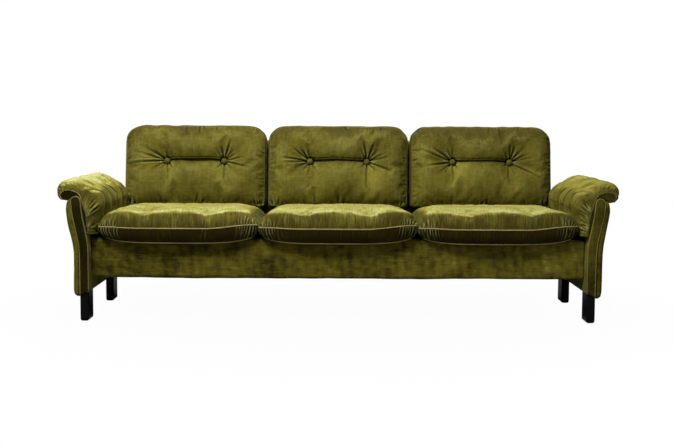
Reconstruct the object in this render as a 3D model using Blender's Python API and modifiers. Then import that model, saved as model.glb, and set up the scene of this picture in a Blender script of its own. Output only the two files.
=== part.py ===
"""Three-seat velvet sofa: a beech base and back frame, upholstered arm panels on black feet,
channelled arm pads, and loose seat and back cushions.

Metres, +Z up, the front faces -Y. The origin is on the floor under the middle of the sofa.
"""

import math

import bmesh
import bpy
from mathutils import Matrix, Vector

# Fits
CLEAR = 0.0003  # gap between pieces that touch
BOLT_CLEAR = 0.0008  # around a bolt in its hole

# Seating
SEAT_NAMES = ("left", "middle", "right")
SIDES = {"left": -1, "right": 1}
SEAT_PITCH = 0.640  # one seat, centre to centre
CUSHION_GAP = 0.003  # between neighbouring cushions
SEAT_RAKE = math.radians(2)
BACK_RAKE = math.radians(10)

# Base frame
BASE_FRONT = -0.340  # front face of the front rail
BASE_DEPTH = 0.636
BASE_BOTTOM = 0.180
FRONT_RAIL_HEIGHT = 0.138
RAIL_THICK = 0.028
RAIL_EDGE = 0.002  # eased edge of every rail and post
LOW_SHARE = 0.5  # height of the cross rails and corner blocks, of the rear rail's
END_SHARE = 0.8  # height of the end rails, of the rear rail's
BLOCK_LEG = 0.070  # short sides of a corner block
WEBBING_WIDTH = 0.060
WEBBING_THICK = 0.003
WEBBING_LAP = 0.014  # how far a strap reaches over the front rail
DECK_THICK = 0.008
DUST_COVER_THICK = 0.002

# Front apron, a padded cover around the front rail
APRON_PAD = 0.010
APRON_EDGE = 0.012  # radius of its padded front edges
APRON_TURN_UNDER = 0.024

# Back frame
POST_WIDTH = 0.045
POST_THICK = 0.032
KNEE_HEIGHT = 0.330  # where the posts start to lean back
POST_FOOT = 0.190
BACK_FRAME_HEIGHT = 0.385  # from the knee, along the lean
BACK_END_GAP = 0.020  # between the back frame's end and the arm panel
TOP_RAIL_HEIGHT = 0.060
BACK_STRAPS = 3
BACK_STRAP_HEIGHT = 0.050
BACK_COVER_THICK = 0.004
BACK_COVER_EDGE = 0.010

# Arm panels
ARM_FRONT = -0.400
ARM_REAR = 0.330
ARM_TOP = 0.502
ARM_FLARE = 0.028  # how far the top leans out
FLARE_START = 0.280
FLARE_STEPS = 6
CORE_THICK = 0.0344
CORE_BOTTOM = 0.118
COVER_WALL = 0.004
COVER_FOOT_INNER = 0.122
COVER_FOOT_OUTER = 0.104
OUTER_PAD_THICK = 0.0215
OUTER_PAD_FOOT = 0.098
OUTER_PAD_DROP = 0.008  # its top below the panel's top
OUTER_PAD_TAPER = 0.080  # height over which it thins out towards its top
OUTER_PAD_FOOT_TAPER = 0.042  # and towards its foot

# Arm pads
PAD_FRONT = -0.392
PAD_REAR = 0.220
PAD_FOOT = 0.350
PAD_SIDE = 0.032  # thickness beside the seat cushion
PAD_TOP = 0.072  # thickness over the panel
PAD_BULGE = 0.025  # how far the shoulder stands in over the seat
PAD_LIP = 0.050  # how far the roll hangs out past the panel
PAD_FRONT_ROUND = 0.062  # length of the rounded front end
PAD_REAR_ROUND = 0.036
PAD_END = 0.14  # thickness left at both ends, of the full thickness
PAD_ROLLS = 5
PAD_CHANNEL = 0.012

# Feet
LEG_WIDTH = 0.035
LEG_DEPTH = 0.100
LEG_EDGE = 0.010
FRONT_LEG_Y = -0.3437
REAR_LEG_Y = 0.180
TENON_WIDTH = 0.012
TENON_DEPTH = 0.050
TENON_HEIGHT = 0.030

# Seat cushions
SEAT_OVERHANG = 0.060  # past the apron's face, at the middle of the front
SEAT_THICK = 0.118
SEAT_SEAM = 0.042  # height of the upper piped seam
SEAT_UNDERCUT = 0.030  # the lower seam inside the upper one
SEAT_BOW = 0.018  # the front corners behind the middle of the front
SEAT_DROOP = 0.024  # the front hangs this far down past the apron's top
SEAT_SAG = 0.003  # how far the upper seam sinks at the front corners
SEAT_DIMPLE = 0.012
SEAT_DIMPLE_BACK = 0.090  # from the front of the cushion to the dimples

# Back cushions
BACK_LIFT = 0.076  # foot of the cushion above the knee, along the lean
BACK_HEIGHT = 0.370
BACK_GUSSET = 0.080  # thickness at the edge
BACK_CROWN = 0.052  # more in the middle
BACK_ROUND = 0.010  # how far the front and rear edges stand in from the gusset's middle
BACK_WAIST = 0.002  # how far the sides draw in between the corners
TUFT_SHARE = 0.40  # from the middle to the edge
TUFT_HEIGHT = 0.200  # above the cushion's foot
TUFT_DEPTH = 0.034
TUFT_FLAT = 0.016  # half the flat patch under a button
TUFT_REACH = 0.100
CREASE_DEPTH = 0.016
BUTTON_RADIUS = 0.0125
BUTTON_RIM = 0.003
BUTTON_DOME = 0.006

# Bolts
BOLT_RADIUS = 0.004
BOLT_HEAD_RADIUS = 0.010
BOLT_HEAD = 0.005
BOLT_BITE = 0.018  # how far a bolt goes into the piece it holds
BOLT_SIDES = 12

# Places that follow from the sizes above
RUN = len(SEAT_NAMES) * SEAT_PITCH
SEAT_FACE = RUN / 2 + CLEAR  # inner face of an arm pad beside the seat
ARM_FACE = SEAT_FACE + PAD_SIDE + CLEAR  # inner face of an arm panel
BASE_HALF = ARM_FACE - CLEAR
PANEL_THICK = CORE_THICK + 2 * (COVER_WALL + CLEAR)
ARCH_Z = ARM_TOP - PANEL_THICK / 2
BASE_REAR = BASE_FRONT + BASE_DEPTH
RAIL_TOP = BASE_BOTTOM + FRONT_RAIL_HEIGHT
SEAT_ORIGIN_Y = BASE_FRONT + RAIL_THICK
SEAT_ORIGIN_Z = RAIL_TOP + CLEAR
REAR_RAIL_TOP = SEAT_ORIGIN_Z - (BASE_REAR - SEAT_ORIGIN_Y) * math.tan(SEAT_RAKE) - CLEAR
REAR_RAIL_HEIGHT = REAR_RAIL_TOP - BASE_BOTTOM
DECK_TOP = WEBBING_THICK + CLEAR + DECK_THICK  # above the seat frame's origin
DECK_FRONT = -WEBBING_LAP
APRON_FRONT = BASE_FRONT - CLEAR - APRON_PAD
APRON_BOTTOM = BASE_BOTTOM - CLEAR - APRON_PAD
POST_FRONT = BASE_REAR + CLEAR
BACK_HALF = ARM_FACE - BACK_END_GAP
LINING = WEBBING_THICK + 2 * CLEAR + BACK_COVER_THICK  # from a post to the cover's front
CUSHION_HALF = (SEAT_PITCH - CUSHION_GAP) / 2
PAD_LIP_X = ARM_FACE + PANEL_THICK + CLEAR + OUTER_PAD_THICK + ARM_FLARE + PAD_LIP


def smooth(start, end, value):
    """0 before start, 1 after end, with a soft S between."""
    share = min(1.0, max(0.0, (value - start) / (end - start)))
    return share * share * (3 - 2 * share)


def flare(z):
    """How far the arm panel leans out at a height: straight between its stations."""
    step = (ARCH_Z - FLARE_START) / FLARE_STEPS
    count = min(FLARE_STEPS - 1, max(0, int((z - FLARE_START) / step)))
    low, high = (smooth(0, FLARE_STEPS, k) for k in (count, count + 1))
    share = min(1.0, max(0.0, (z - FLARE_START) / step - count))
    return ARM_FLARE * (low + (high - low) * share)


def flare_stations():
    return [FLARE_START + (ARCH_Z - FLARE_START) * k / FLARE_STEPS for k in range(FLARE_STEPS)]


def seat_point(y, z):
    """A (y, z) place of the room, in the seat frame."""
    dy, dz = y - SEAT_ORIGIN_Y, z - SEAT_ORIGIN_Z
    c, s = math.cos(SEAT_RAKE), math.sin(SEAT_RAKE)
    return dy * c - dz * s, dy * s + dz * c


def seat_x(index):
    return (index - (len(SEAT_NAMES) - 1) / 2) * SEAT_PITCH


# Making objects


def clear_scene():
    for obj in list(bpy.data.objects):
        bpy.data.objects.remove(obj, do_unlink=True)


def collection(name):
    made = bpy.data.collections.new(name)
    bpy.context.scene.collection.children.link(made)
    return made


def finish(name, colour, roughness, metallic=0.0):
    made = bpy.data.materials.new(name)
    made.use_nodes = True
    shader = made.node_tree.nodes["Principled BSDF"]
    shader.inputs["Base Color"].default_value = (*colour, 1.0)
    shader.inputs["Roughness"].default_value = roughness
    shader.inputs["Metallic"].default_value = metallic
    made.diffuse_color = (*colour, 1.0)
    return made


def place(name, data, material=None, parent=None):
    obj = bpy.data.objects.new(name, data)
    SOFA.objects.link(obj)
    if material:
        data.materials.clear()
        data.materials.append(material)
    obj.parent = parent
    return obj


def mesh_from(bm, name):
    bmesh.ops.recalc_face_normals(bm, faces=bm.faces)
    mesh = bpy.data.meshes.new(name)
    bm.to_mesh(mesh)
    bm.free()
    return mesh


def box(name, low, high, material, parent=None, edge=0.0):
    """A block between two corners, with eased edges."""
    low, high = Vector(low), Vector(high)
    bm = bmesh.new()
    bmesh.ops.create_cube(bm, size=1)
    bmesh.ops.scale(bm, vec=high - low, verts=bm.verts)
    obj = place(name, mesh_from(bm, name), material, parent)
    obj.location = (low + high) / 2
    if edge:
        bevel = obj.modifiers.new("eased_edge", "BEVEL")
        bevel.width = edge
        bevel.segments = 1
    return obj


OUTLINE_PLANES = {
    "X": Matrix(((0, 0, 1), (1, 0, 0), (0, 1, 0))),
    "Y": Matrix(((1, 0, 0), (0, 0, -1), (0, 1, 0))),
    "Z": Matrix.Identity(3),
}


def extruded(name, outline, axis, start, end, material=None):
    """A flat outline drawn across an axis and drawn out from start to end along it."""
    curve = bpy.data.curves.new(name, "CURVE")
    curve.dimensions = "2D"
    curve.fill_mode = "BOTH"
    curve.extrude = abs(end - start) / 2
    spline = curve.splines.new("POLY")
    spline.points.add(len(outline) - 1)
    for point, (u, v) in zip(spline.points, outline):
        point.co = (u, v, 0, 1)
    spline.use_cyclic_u = True
    drawn = bpy.data.objects.new(name + "_outline", curve)
    bpy.context.scene.collection.objects.link(drawn)
    graph = bpy.context.evaluated_depsgraph_get()
    mesh = bpy.data.meshes.new_from_object(drawn.evaluated_get(graph))
    bpy.data.objects.remove(drawn)
    bm = bmesh.new()
    bm.from_mesh(mesh)
    bpy.data.meshes.remove(mesh)
    bmesh.ops.remove_doubles(bm, verts=bm.verts, dist=1e-6)
    obj = place(name, mesh_from(bm, name), material)
    obj.matrix_world = OUTLINE_PLANES[axis].to_4x4()
    obj.location["XYZ".index(axis)] = (start + end) / 2
    return obj


def turned(name, profile, sides, material):
    """A profile of (radius, height) points, top to bottom, turned about Z."""
    bm = bmesh.new()
    points = [bm.verts.new((radius, 0, height)) for radius, height in profile]
    for first, second in zip(points, points[1:]):
        bm.edges.new((first, second))
    mesh = bpy.data.meshes.new(name)
    bm.to_mesh(mesh)
    bm.free()
    obj = place(name, mesh, material)
    screw = obj.modifiers.new("turn", "SCREW")
    screw.steps = screw.render_steps = sides
    screw.use_merge_vertices = True
    screw.merge_threshold = 0.00005
    return obj


def cage(*cuts):
    """A cube from -1 to 1 with loops cut across X, Y and Z at the given places."""
    bm = bmesh.new()
    bmesh.ops.create_cube(bm, size=2)
    for axis, places in enumerate(cuts):
        normal = Vector.Fill(3)
        normal[axis] = 1
        for where in places:
            everything = bm.verts[:] + bm.edges[:] + bm.faces[:]
            bmesh.ops.bisect_plane(bm, geom=everything, plane_co=normal * where, plane_no=normal)
    return bm


def soft(name, cuts, shape, material, parent=None):
    """A stuffed form: a cut cube whose points a shape function moves. Flat stretches lose their loops."""
    bm = cage(*cuts)
    for vert in bm.verts:
        vert.co = shape(*vert.co)
    bmesh.ops.recalc_face_normals(bm, faces=bm.faces)
    bmesh.ops.dissolve_limit(bm, angle_limit=math.radians(0.2), verts=bm.verts, edges=bm.edges)
    mesh = mesh_from(bm, name)
    mesh.shade_smooth()
    return place(name, mesh, material, parent)


def cut(target, cutter):
    """Takes the cutter out of the target."""
    SOFA.objects.unlink(cutter)
    CUTTERS.objects.link(cutter)
    cutter.hide_render = True
    cutter.display_type = "WIRE"
    modifier = target.modifiers.new("cut_" + cutter.name, "BOOLEAN")
    modifier.operation = "DIFFERENCE"
    modifier.solver = "EXACT"
    modifier.object = cutter


def rake_frame(name, y, z, angle):
    """An empty that leans back by an angle, to carry what leans."""
    empty = place(name, None)
    empty.location = (0, y, z)
    empty.rotation_euler = (-angle, 0, 0)
    return empty


def arc(centre, radius, start, end, steps):
    """Points of an arc in degrees, both ends included."""
    angles = [math.radians(start + (end - start) * k / steps) for k in range(steps + 1)]
    return [(centre[0] + radius * math.cos(a), centre[1] + radius * math.sin(a)) for a in angles]


def evenly(count, low=-1.0, high=1.0):
    """Places that divide a stretch into count equal steps, without its ends."""
    return [low + (high - low) * k / count for k in range(1, count)]


# Base frame


def base_frame(beech):
    eased = {"material": beech, "edge": RAIL_EDGE}
    front_inside = BASE_FRONT + RAIL_THICK
    rear_inside = BASE_REAR - RAIL_THICK
    box("front_rail", (-BASE_HALF, BASE_FRONT, BASE_BOTTOM), (BASE_HALF, front_inside, RAIL_TOP), **eased)
    rear = box(
        "rear_rail", (-BASE_HALF, rear_inside, BASE_BOTTOM), (BASE_HALF, BASE_REAR, REAR_RAIL_TOP), **eased
    )
    low = (front_inside + CLEAR, BASE_BOTTOM)
    high = (rear_inside - CLEAR, BASE_BOTTOM + REAR_RAIL_HEIGHT * END_SHARE)
    ends = {}
    for name, side in SIDES.items():
        faces = sorted((side * (BASE_HALF - RAIL_THICK), side * BASE_HALF))
        ends[name] = box("end_rail_" + name, (faces[0], *low), (faces[1], *high), **eased)
        corner_blocks(name, side, front_inside, rear_inside, beech)
    cross_top = BASE_BOTTOM + REAR_RAIL_HEIGHT * LOW_SHARE
    for name, x in (("left", seat_x(0.5)), ("right", seat_x(len(SEAT_NAMES) - 1.5))):
        box(
            "cross_rail_" + name,
            (x - RAIL_THICK / 2, *low),
            (x + RAIL_THICK / 2, rear_inside - CLEAR, cross_top),
            **eased,
        )
    return rear, ends


def corner_blocks(name, side, front_inside, rear_inside, beech):
    """Glued triangular blocks that square up the two corners at one end."""
    x = side * (BASE_HALF - RAIL_THICK - CLEAR)
    for place_name, y, inward in (("front", front_inside + CLEAR, 1), ("rear", rear_inside - CLEAR, -1)):
        outline = [(x, y), (x - side * BLOCK_LEG, y), (x, y + inward * BLOCK_LEG)]
        top = BASE_BOTTOM + REAR_RAIL_HEIGHT * LOW_SHARE
        extruded(f"corner_block_{name}_{place_name}", outline, "Z", BASE_BOTTOM, top, beech)


def seat_webbing(frame, webbing):
    """Two elastic straps under each cushion, from the front rail to the rear rail."""
    rear = (BASE_REAR - SEAT_ORIGIN_Y) / math.cos(SEAT_RAKE) - 2 * CLEAR
    for index, name in enumerate(SEAT_NAMES):
        for number, offset in enumerate((-SEAT_PITCH / 6, SEAT_PITCH / 6), start=1):
            x = seat_x(index) + offset
            box(
                f"seat_webbing_{name}_{number}",
                (x - WEBBING_WIDTH / 2, -WEBBING_LAP, 0),
                (x + WEBBING_WIDTH / 2, rear, WEBBING_THICK),
                webbing,
                parent=frame,
            )


def seat_deck(frame, cloth):
    rear = (BASE_REAR - SEAT_ORIGIN_Y) / math.cos(SEAT_RAKE) - 2 * CLEAR
    low = (-BASE_HALF, DECK_FRONT, WEBBING_THICK + CLEAR)
    box("seat_deck", low, (BASE_HALF, rear, DECK_TOP), cloth, parent=frame)


def front_apron(velvet):
    """A padded cover with a C section: over the front rail's top, down its face and under it."""
    top_end = SEAT_ORIGIN_Y + DECK_FRONT - CLEAR
    under_end = BASE_FRONT + APRON_TURN_UNDER
    top = SEAT_ORIGIN_Z + DECK_TOP * math.cos(SEAT_RAKE) - CLEAR
    edge_y = APRON_FRONT + APRON_EDGE
    outline = [(under_end, APRON_BOTTOM)]
    outline += arc((edge_y, APRON_BOTTOM + APRON_EDGE), APRON_EDGE, 270, 180, 4)
    outline += arc((edge_y, top - APRON_EDGE), APRON_EDGE, 180, 90, 4)
    inside_y = BASE_FRONT - CLEAR
    outline += [(top_end, top), (top_end, SEAT_ORIGIN_Z), (inside_y, SEAT_ORIGIN_Z)]
    outline += [(inside_y, BASE_BOTTOM - CLEAR), (under_end, BASE_BOTTOM - CLEAR)]
    extruded("front_apron", outline, "X", -BASE_HALF, BASE_HALF, velvet)


def dust_cover(cloth):
    front = BASE_FRONT + APRON_TURN_UNDER + CLEAR
    top = BASE_BOTTOM - CLEAR
    rear = POST_FRONT + POST_THICK
    box("dust_cover", (-BASE_HALF, front, top - DUST_COVER_THICK), (BASE_HALF, rear, top), cloth)


# Back frame


def lean(y, z):
    """A (y, z) place of the back frame, in the room."""
    c, s = math.cos(BACK_RAKE), math.sin(BACK_RAKE)
    return POST_FRONT + y * c + z * s, KNEE_HEIGHT - y * s + z * c


def back_posts(beech):
    """Posts sawn with a knee: upright behind the rear rail, then leaning back."""
    post_top = BACK_FRAME_HEIGHT - TOP_RAIL_HEIGHT - CLEAR
    rear_knee = (POST_FRONT + POST_THICK, KNEE_HEIGHT - POST_THICK * math.tan(BACK_RAKE / 2))
    outline = [(POST_FRONT, POST_FOOT), (POST_FRONT, KNEE_HEIGHT), lean(0, post_top)]
    outline += [lean(POST_THICK, post_top), rear_knee, (rear_knee[0], POST_FOOT)]
    end = BACK_HALF - BACK_COVER_THICK - CLEAR - POST_WIDTH / 2
    posts = []
    for number in range(len(SEAT_NAMES) + 1):
        x = -end + 2 * end * number / len(SEAT_NAMES)
        name = f"back_post_{number + 1}"
        posts.append((x, extruded(name, outline, "X", x - POST_WIDTH / 2, x + POST_WIDTH / 2, beech)))
    return posts


def back_rails_and_straps(frame, beech, webbing):
    half = BACK_HALF - BACK_COVER_THICK - CLEAR
    low = (-half, 0, BACK_FRAME_HEIGHT - TOP_RAIL_HEIGHT)
    edge = BACK_COVER_EDGE - BACK_COVER_THICK
    box("back_top_rail", low, (half, POST_THICK, BACK_FRAME_HEIGHT), beech, parent=frame, edge=edge)
    span = BACK_FRAME_HEIGHT - TOP_RAIL_HEIGHT
    for number in range(BACK_STRAPS):
        foot = span * (number + 0.5) / BACK_STRAPS - BACK_STRAP_HEIGHT / 2
        box(
            f"back_webbing_{number + 1}",
            (-half, -WEBBING_THICK - CLEAR, foot),
            (half, -CLEAR, foot + BACK_STRAP_HEIGHT),
            webbing,
            parent=frame,
        )


def sleeve_section(inset):
    """Section of the back's sleeve, so far inside its outer face, from its front knee to its rear knee."""
    front = inset - LINING
    rear = POST_THICK + CLEAR + BACK_COVER_THICK - inset
    top = BACK_FRAME_HEIGHT + CLEAR + BACK_COVER_THICK - inset
    edge = BACK_COVER_EDGE - inset
    knee_shift = math.tan(BACK_RAKE / 2)
    section = [(POST_FRONT + front, KNEE_HEIGHT - front * knee_shift)]
    section += [lean(*p) for p in arc((front + edge, top - edge), edge, 180, 90, 3)]
    section += [lean(*p) for p in arc((rear - edge, top - edge), edge, 90, 0, 3)]
    section.append((POST_FRONT + rear, KNEE_HEIGHT - rear * knee_shift))
    return section


def back_cover(velvet):
    """A velvet sleeve over the back frame, open underneath: to the deck in front, to the floor side behind."""
    outer, inner = sleeve_section(0), sleeve_section(BACK_COVER_THICK)
    deck_rear = SEAT_ORIGIN_Z + DECK_TOP - (BASE_REAR - SEAT_ORIGIN_Y) * math.tan(SEAT_RAKE)
    front_foot = deck_rear + BACK_COVER_THICK
    outline = [(outer[0][0], front_foot), *outer, (outer[-1][0], BASE_BOTTOM)]
    outline += [(POST_FRONT, BASE_BOTTOM), (POST_FRONT, front_foot)]
    cover = extruded("back_cover", outline, "X", -BACK_HALF, BACK_HALF, velvet)
    below = BASE_BOTTOM - BACK_COVER_THICK
    hollow = [*inner, (inner[-1][0], below), (inner[0][0], below)]
    inside = BACK_HALF - BACK_COVER_THICK
    cut(cover, extruded("back_hollow", hollow, "X", -inside, inside))


# Arms


def panel_outline(side, inset, foot_inner, foot_outer):
    """Cross-section of an arm panel, so far inside its cover, flared and with a round top."""
    inner, outer = ARM_FACE + inset, ARM_FACE + PANEL_THICK - inset
    rise = flare_stations()
    crown = arc(((inner + outer) / 2 + ARM_FLARE, ARCH_Z), (outer - inner) / 2, 180, 0, 8)
    points = [(inner + flare(z), z) for z in [foot_inner, *rise]] + crown
    points += [(outer + flare(z), z) for z in [*reversed(rise), foot_outer]]
    return [(side * x, z) for x, z in points]


def arm_panel(name, side, velvet, board):
    """The board, the cover sewn round it and open underneath, and the padding on its outer face."""
    outline = panel_outline(side, COVER_WALL + CLEAR, CORE_BOTTOM, CORE_BOTTOM)
    front, rear = ARM_FRONT + COVER_WALL, ARM_REAR - COVER_WALL
    core = extruded("arm_core_" + name, outline, "Y", front + CLEAR, rear - CLEAR, board)
    outline = panel_outline(side, 0, COVER_FOOT_INNER, COVER_FOOT_OUTER)
    cover = extruded("arm_cover_" + name, outline, "Y", ARM_FRONT, ARM_REAR, velvet)
    below = COVER_FOOT_OUTER - COVER_WALL
    inside = panel_outline(side, COVER_WALL, below, below)
    cut(cover, extruded("arm_hollow_" + name, inside, "Y", front, rear))
    outer_pad(name, side, velvet)
    return core, cover


def outer_pad(name, side, velvet):
    """A foam pad with rolled edges, on the panel's outer face."""
    top = ARM_TOP - OUTER_PAD_DROP
    face = ARM_FACE + PANEL_THICK + CLEAR
    middle_y, half_y = (ARM_FRONT + ARM_REAR) / 2, (ARM_REAR - ARM_FRONT) / 2
    middle_z, half_z = (top + OUTER_PAD_FOOT) / 2, (top - OUTER_PAD_FOOT) / 2
    roll = OUTER_PAD_THICK

    def shape(s, t, r):
        corner = abs(t) ** 24 * abs(s) ** 40
        y = middle_y + half_y * s * (1 - 0.02 * corner)
        z = middle_z + half_z * t * (1 - 0.04 * corner)
        slack = 0.02 * roll
        ends = rounded(half_y * (1 - abs(s)) + slack, roll)
        foot = rounded(half_z * (1 + t) + slack, OUTER_PAD_FOOT_TAPER)
        thick = OUTER_PAD_THICK * min(ends, foot, rounded(half_z * (1 - t) + slack, OUTER_PAD_TAPER))
        return Vector((side * (face + flare(z) + thick * (r + 1) / 2), y, z))

    along_y = [a * (1 - b * roll / half_y) for a in (-1, 1) for b in (0.12, 0.4, 1)]
    along_z = [b * OUTER_PAD_FOOT_TAPER / half_z - 1 for b in (0.05, 0.2, 0.5, 1)]
    along_z += [1 - b * OUTER_PAD_TAPER / half_z for b in (0.03, 0.12, 0.3)]
    along_z += [(z - middle_z) / half_z for z in flare_stations()]
    soft("arm_outer_pad_" + name, (along_y, along_z, ()), shape, velvet)


def rounded(distance, radius):
    """Height of a round edge at a distance from it, from 0 at the edge to 1 past the radius."""
    return math.sqrt(1 - (1 - min(1.0, max(0.0, distance) / radius)) ** 2)


def guide(points, steps=12):
    """A smooth line through a few points, as many close points."""
    ends = [points[0], *points, points[-1]]
    line = []
    for a, b, c, d in zip(ends, ends[1:], ends[2:], ends[3:]):
        for k in range(steps):
            u = k / steps
            line.append(
                tuple(
                    0.5 * (2 * q + (r - p) * u + (2 * p - 5 * q + 4 * r - e) * u**2 + (3 * q - p - 3 * r + e) * u**3)
                    for p, q, r, e in zip(a, b, c, d)
                )
            )
    return [*line, points[-1]]


def along(line, share):
    """The point at a share of a line's length."""
    lengths = [math.dist(a, b) for a, b in zip(line, line[1:])]
    left = share * sum(lengths)
    for a, b, length in zip(line, line[1:], lengths):
        if left <= length:
            return tuple(p + (q - p) * left / length for p, q in zip(a, b))
        left -= length
    return line[-1]


def pad_guides():
    """The pad's underside, which follows the panel, and its upper side, both from foot to lip."""
    middle = ARM_FACE + PANEL_THICK / 2 + ARM_FLARE
    rise = [PAD_FOOT, *(z for z in flare_stations() if z > PAD_FOOT + RAIL_EDGE)]
    under = [(ARM_FACE - CLEAR + flare(z), z) for z in rise]
    around = (PANEL_THICK / 2 + CLEAR) / math.cos(math.radians(15))
    under += arc((middle, ARCH_Z), around, 180, 60, 4)
    face, top = ARM_FACE + PANEL_THICK + CLEAR + ARM_FLARE, ARM_TOP - OUTER_PAD_DROP
    under.append((face, top + 3 * CLEAR))
    for drop in (0, 0.003, 0.007):
        thick = OUTER_PAD_THICK * rounded(drop + 0.02 * OUTER_PAD_THICK, OUTER_PAD_TAPER)
        under.append((face + thick + 2 * CLEAR, top - drop + 2 * CLEAR))
    under.append((PAD_LIP_X - PAD_TOP * 0.48, ARM_TOP - PAD_TOP * 0.19))
    shoulder = SEAT_FACE - PAD_BULGE
    upper = [
        (SEAT_FACE, PAD_FOOT),
        (SEAT_FACE - PAD_BULGE * 0.2, PAD_FOOT + (ARM_TOP - PAD_FOOT) * 0.55),
        (shoulder, ARM_TOP - PAD_TOP * 0.36),
        (shoulder + PAD_TOP * 0.14, ARM_TOP + PAD_TOP * 0.10),
        (shoulder + PAD_TOP * 0.47, ARM_TOP + PAD_TOP * 0.40),
        (middle - PAD_TOP * 0.38, ARM_TOP + PAD_TOP * 0.72),
        (middle + PAD_TOP * 0.20, ARM_TOP + PAD_TOP),
        (middle + PAD_TOP * 0.60, ARM_TOP + PAD_TOP * 0.98),
        (PAD_LIP_X - PAD_TOP * 0.24, ARM_TOP + PAD_TOP * 0.80),
        (PAD_LIP_X, ARM_TOP + PAD_TOP * 0.44),
        (PAD_LIP_X - PAD_TOP * 0.10, ARM_TOP + PAD_TOP * 0.06),
        (PAD_LIP_X - PAD_TOP * 0.34, ARM_TOP - PAD_TOP * 0.18),
    ]
    return under, guide(upper)


def arm_pad(name, side, velvet):
    """A quilted pad that hangs over the panel: rolls run across it, from the seat to the lip."""
    under, upper = pad_guides()
    middle, half = (PAD_FRONT + PAD_REAR) / 2, (PAD_REAR - PAD_FRONT) / 2
    lengths = [math.dist(a, b) for a, b in zip(under, under[1:])]
    around = [2 * sum(lengths[:k]) / sum(lengths) - 1 for k in range(1, len(lengths))]

    def shape(s, t, r):
        share = (t + 1) / 2
        inside, outside = Vector(along(under, share)), Vector(along(upper, share))
        seam = 1 - math.sqrt(abs(math.sin(math.pi * PAD_ROLLS * (s + 1) / 2)))
        ends = rounded(half * (s + 1), PAD_FRONT_ROUND) * rounded(half * (1 - s), PAD_REAR_ROUND)
        thick = (outside - inside).length * (PAD_END + (1 - PAD_END) * ends)
        if abs(s) < 0.999:
            thick -= PAD_CHANNEL * seam * smooth(0.05, 0.4, share)
        point = inside + (outside - inside).normalized() * thick * (r + 1) / 2
        return Vector((side * point.x, middle + half * s, point.y))

    seams = evenly(PAD_ROLLS)
    step = 1 / PAD_ROLLS
    across = [seam + d * step for seam in seams for d in (-0.3, 0, 0.3)]
    across += [seam + step for seam in seams[:-1]]
    across += [share * PAD_FRONT_ROUND / half - 1 for share in (0.07, 0.25, 0.55, 1)]
    across += [1 - share * PAD_REAR_ROUND / half for share in (0.07, 0.3, 1)]
    soft("arm_pad_" + name, (across, around, ()), shape, velvet)


def leg(name, side, y, lacquer):
    """A flat black foot with a tenon that goes up into the panel's board."""
    outer = ARM_FACE + PANEL_THICK - COVER_WALL - CLEAR
    x = side * (outer - LEG_WIDTH / 2)
    top = CORE_BOTTOM - CLEAR
    half = Vector((LEG_WIDTH / 2, LEG_DEPTH / 2, 0))
    foot = box("leg_" + name, Vector((x, y, 0)) - half, Vector((x, y, top)) + half, lacquer)
    weights = foot.data.attributes.new("bevel_weight_edge", "FLOAT", "EDGE")
    for edge in foot.data.edges:
        low = min(foot.data.vertices[index].co.z for index in edge.vertices) < 0
        weights.data[edge.index].value = 1.0 if low else 0.0
    rounded = foot.modifiers.new("rounded_edges", "BEVEL")
    rounded.limit_method = "WEIGHT"
    rounded.width = LEG_EDGE
    rounded.segments = 3
    tenon_x = side * (ARM_FACE + PANEL_THICK / 2)
    half = Vector((TENON_WIDTH / 2, TENON_DEPTH / 2, 0))
    root, tip = Vector((tenon_x, y, top - TENON_HEIGHT / 2)), Vector((tenon_x, y, top + TENON_HEIGHT))
    join(foot, box("tenon_" + name, root - half, tip + half, lacquer))
    room = Vector((CLEAR, CLEAR, CLEAR))
    return box("mortise_" + name, root - half - room, tip + half + room, None)


def join(target, other):
    """Makes the other piece one solid with the target."""
    SOFA.objects.unlink(other)
    CUTTERS.objects.link(other)
    other.hide_render = True
    other.display_type = "WIRE"
    modifier = target.modifiers.new("join_" + other.name, "BOOLEAN")
    modifier.operation = "UNION"
    modifier.solver = "EXACT"
    modifier.object = other


# Bolts


def bolt(name, head, direction, length, steel):
    """A bolt whose head's underside is at a place, pointing along a direction."""
    profile = [(0, BOLT_HEAD), (BOLT_HEAD_RADIUS, BOLT_HEAD), (BOLT_HEAD_RADIUS, 0)]
    profile += [(BOLT_RADIUS, 0), (BOLT_RADIUS, -length), (0, -length)]
    made = turned(name, profile, BOLT_SIDES, steel)
    made.location = head
    made.rotation_mode = "QUATERNION"
    made.rotation_quaternion = (-Vector(direction)).to_track_quat("Z", "Y")


def bolt_hole(name, head, direction, length):
    """A drill for a bolt's hole, a little longer than the bolt."""
    radius = BOLT_RADIUS + BOLT_CLEAR
    start = BOLT_HEAD
    profile = [(0, start), (radius, start), (radius, -length - BOLT_CLEAR), (0, -length - BOLT_CLEAR)]
    made = turned(name, profile, BOLT_SIDES, None)
    made.location = head
    made.rotation_mode = "QUATERNION"
    made.rotation_quaternion = (-Vector(direction)).to_track_quat("Z", "Y")
    return made


def bolted(name, head, direction, length, pieces, steel):
    """A bolt and its hole through each of the pieces that it passes."""
    bolt(name, head, direction, length, steel)
    for number, piece in enumerate(pieces):
        cut(piece, bolt_hole(f"{name}_hole_{number}", head, direction, length))


def arm_bolts(name, side, end_rail, core, cover, steel):
    """Two bolts through an end rail and the cover into the arm's board."""
    length = RAIL_THICK + 2 * CLEAR + COVER_WALL + CLEAR + BOLT_BITE
    head_x = side * (BASE_HALF - RAIL_THICK - CLEAR)
    height = BASE_BOTTOM + REAR_RAIL_HEIGHT * END_SHARE / 2
    spread = BASE_DEPTH / 4
    middle = (BASE_FRONT + BASE_REAR) / 2
    for where, y in (("front", middle - spread), ("rear", middle + spread)):
        pieces = (end_rail, cover, core)
        bolted(f"arm_bolt_{name}_{where}", (head_x, y, height), (side, 0, 0), length, pieces, steel)


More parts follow.
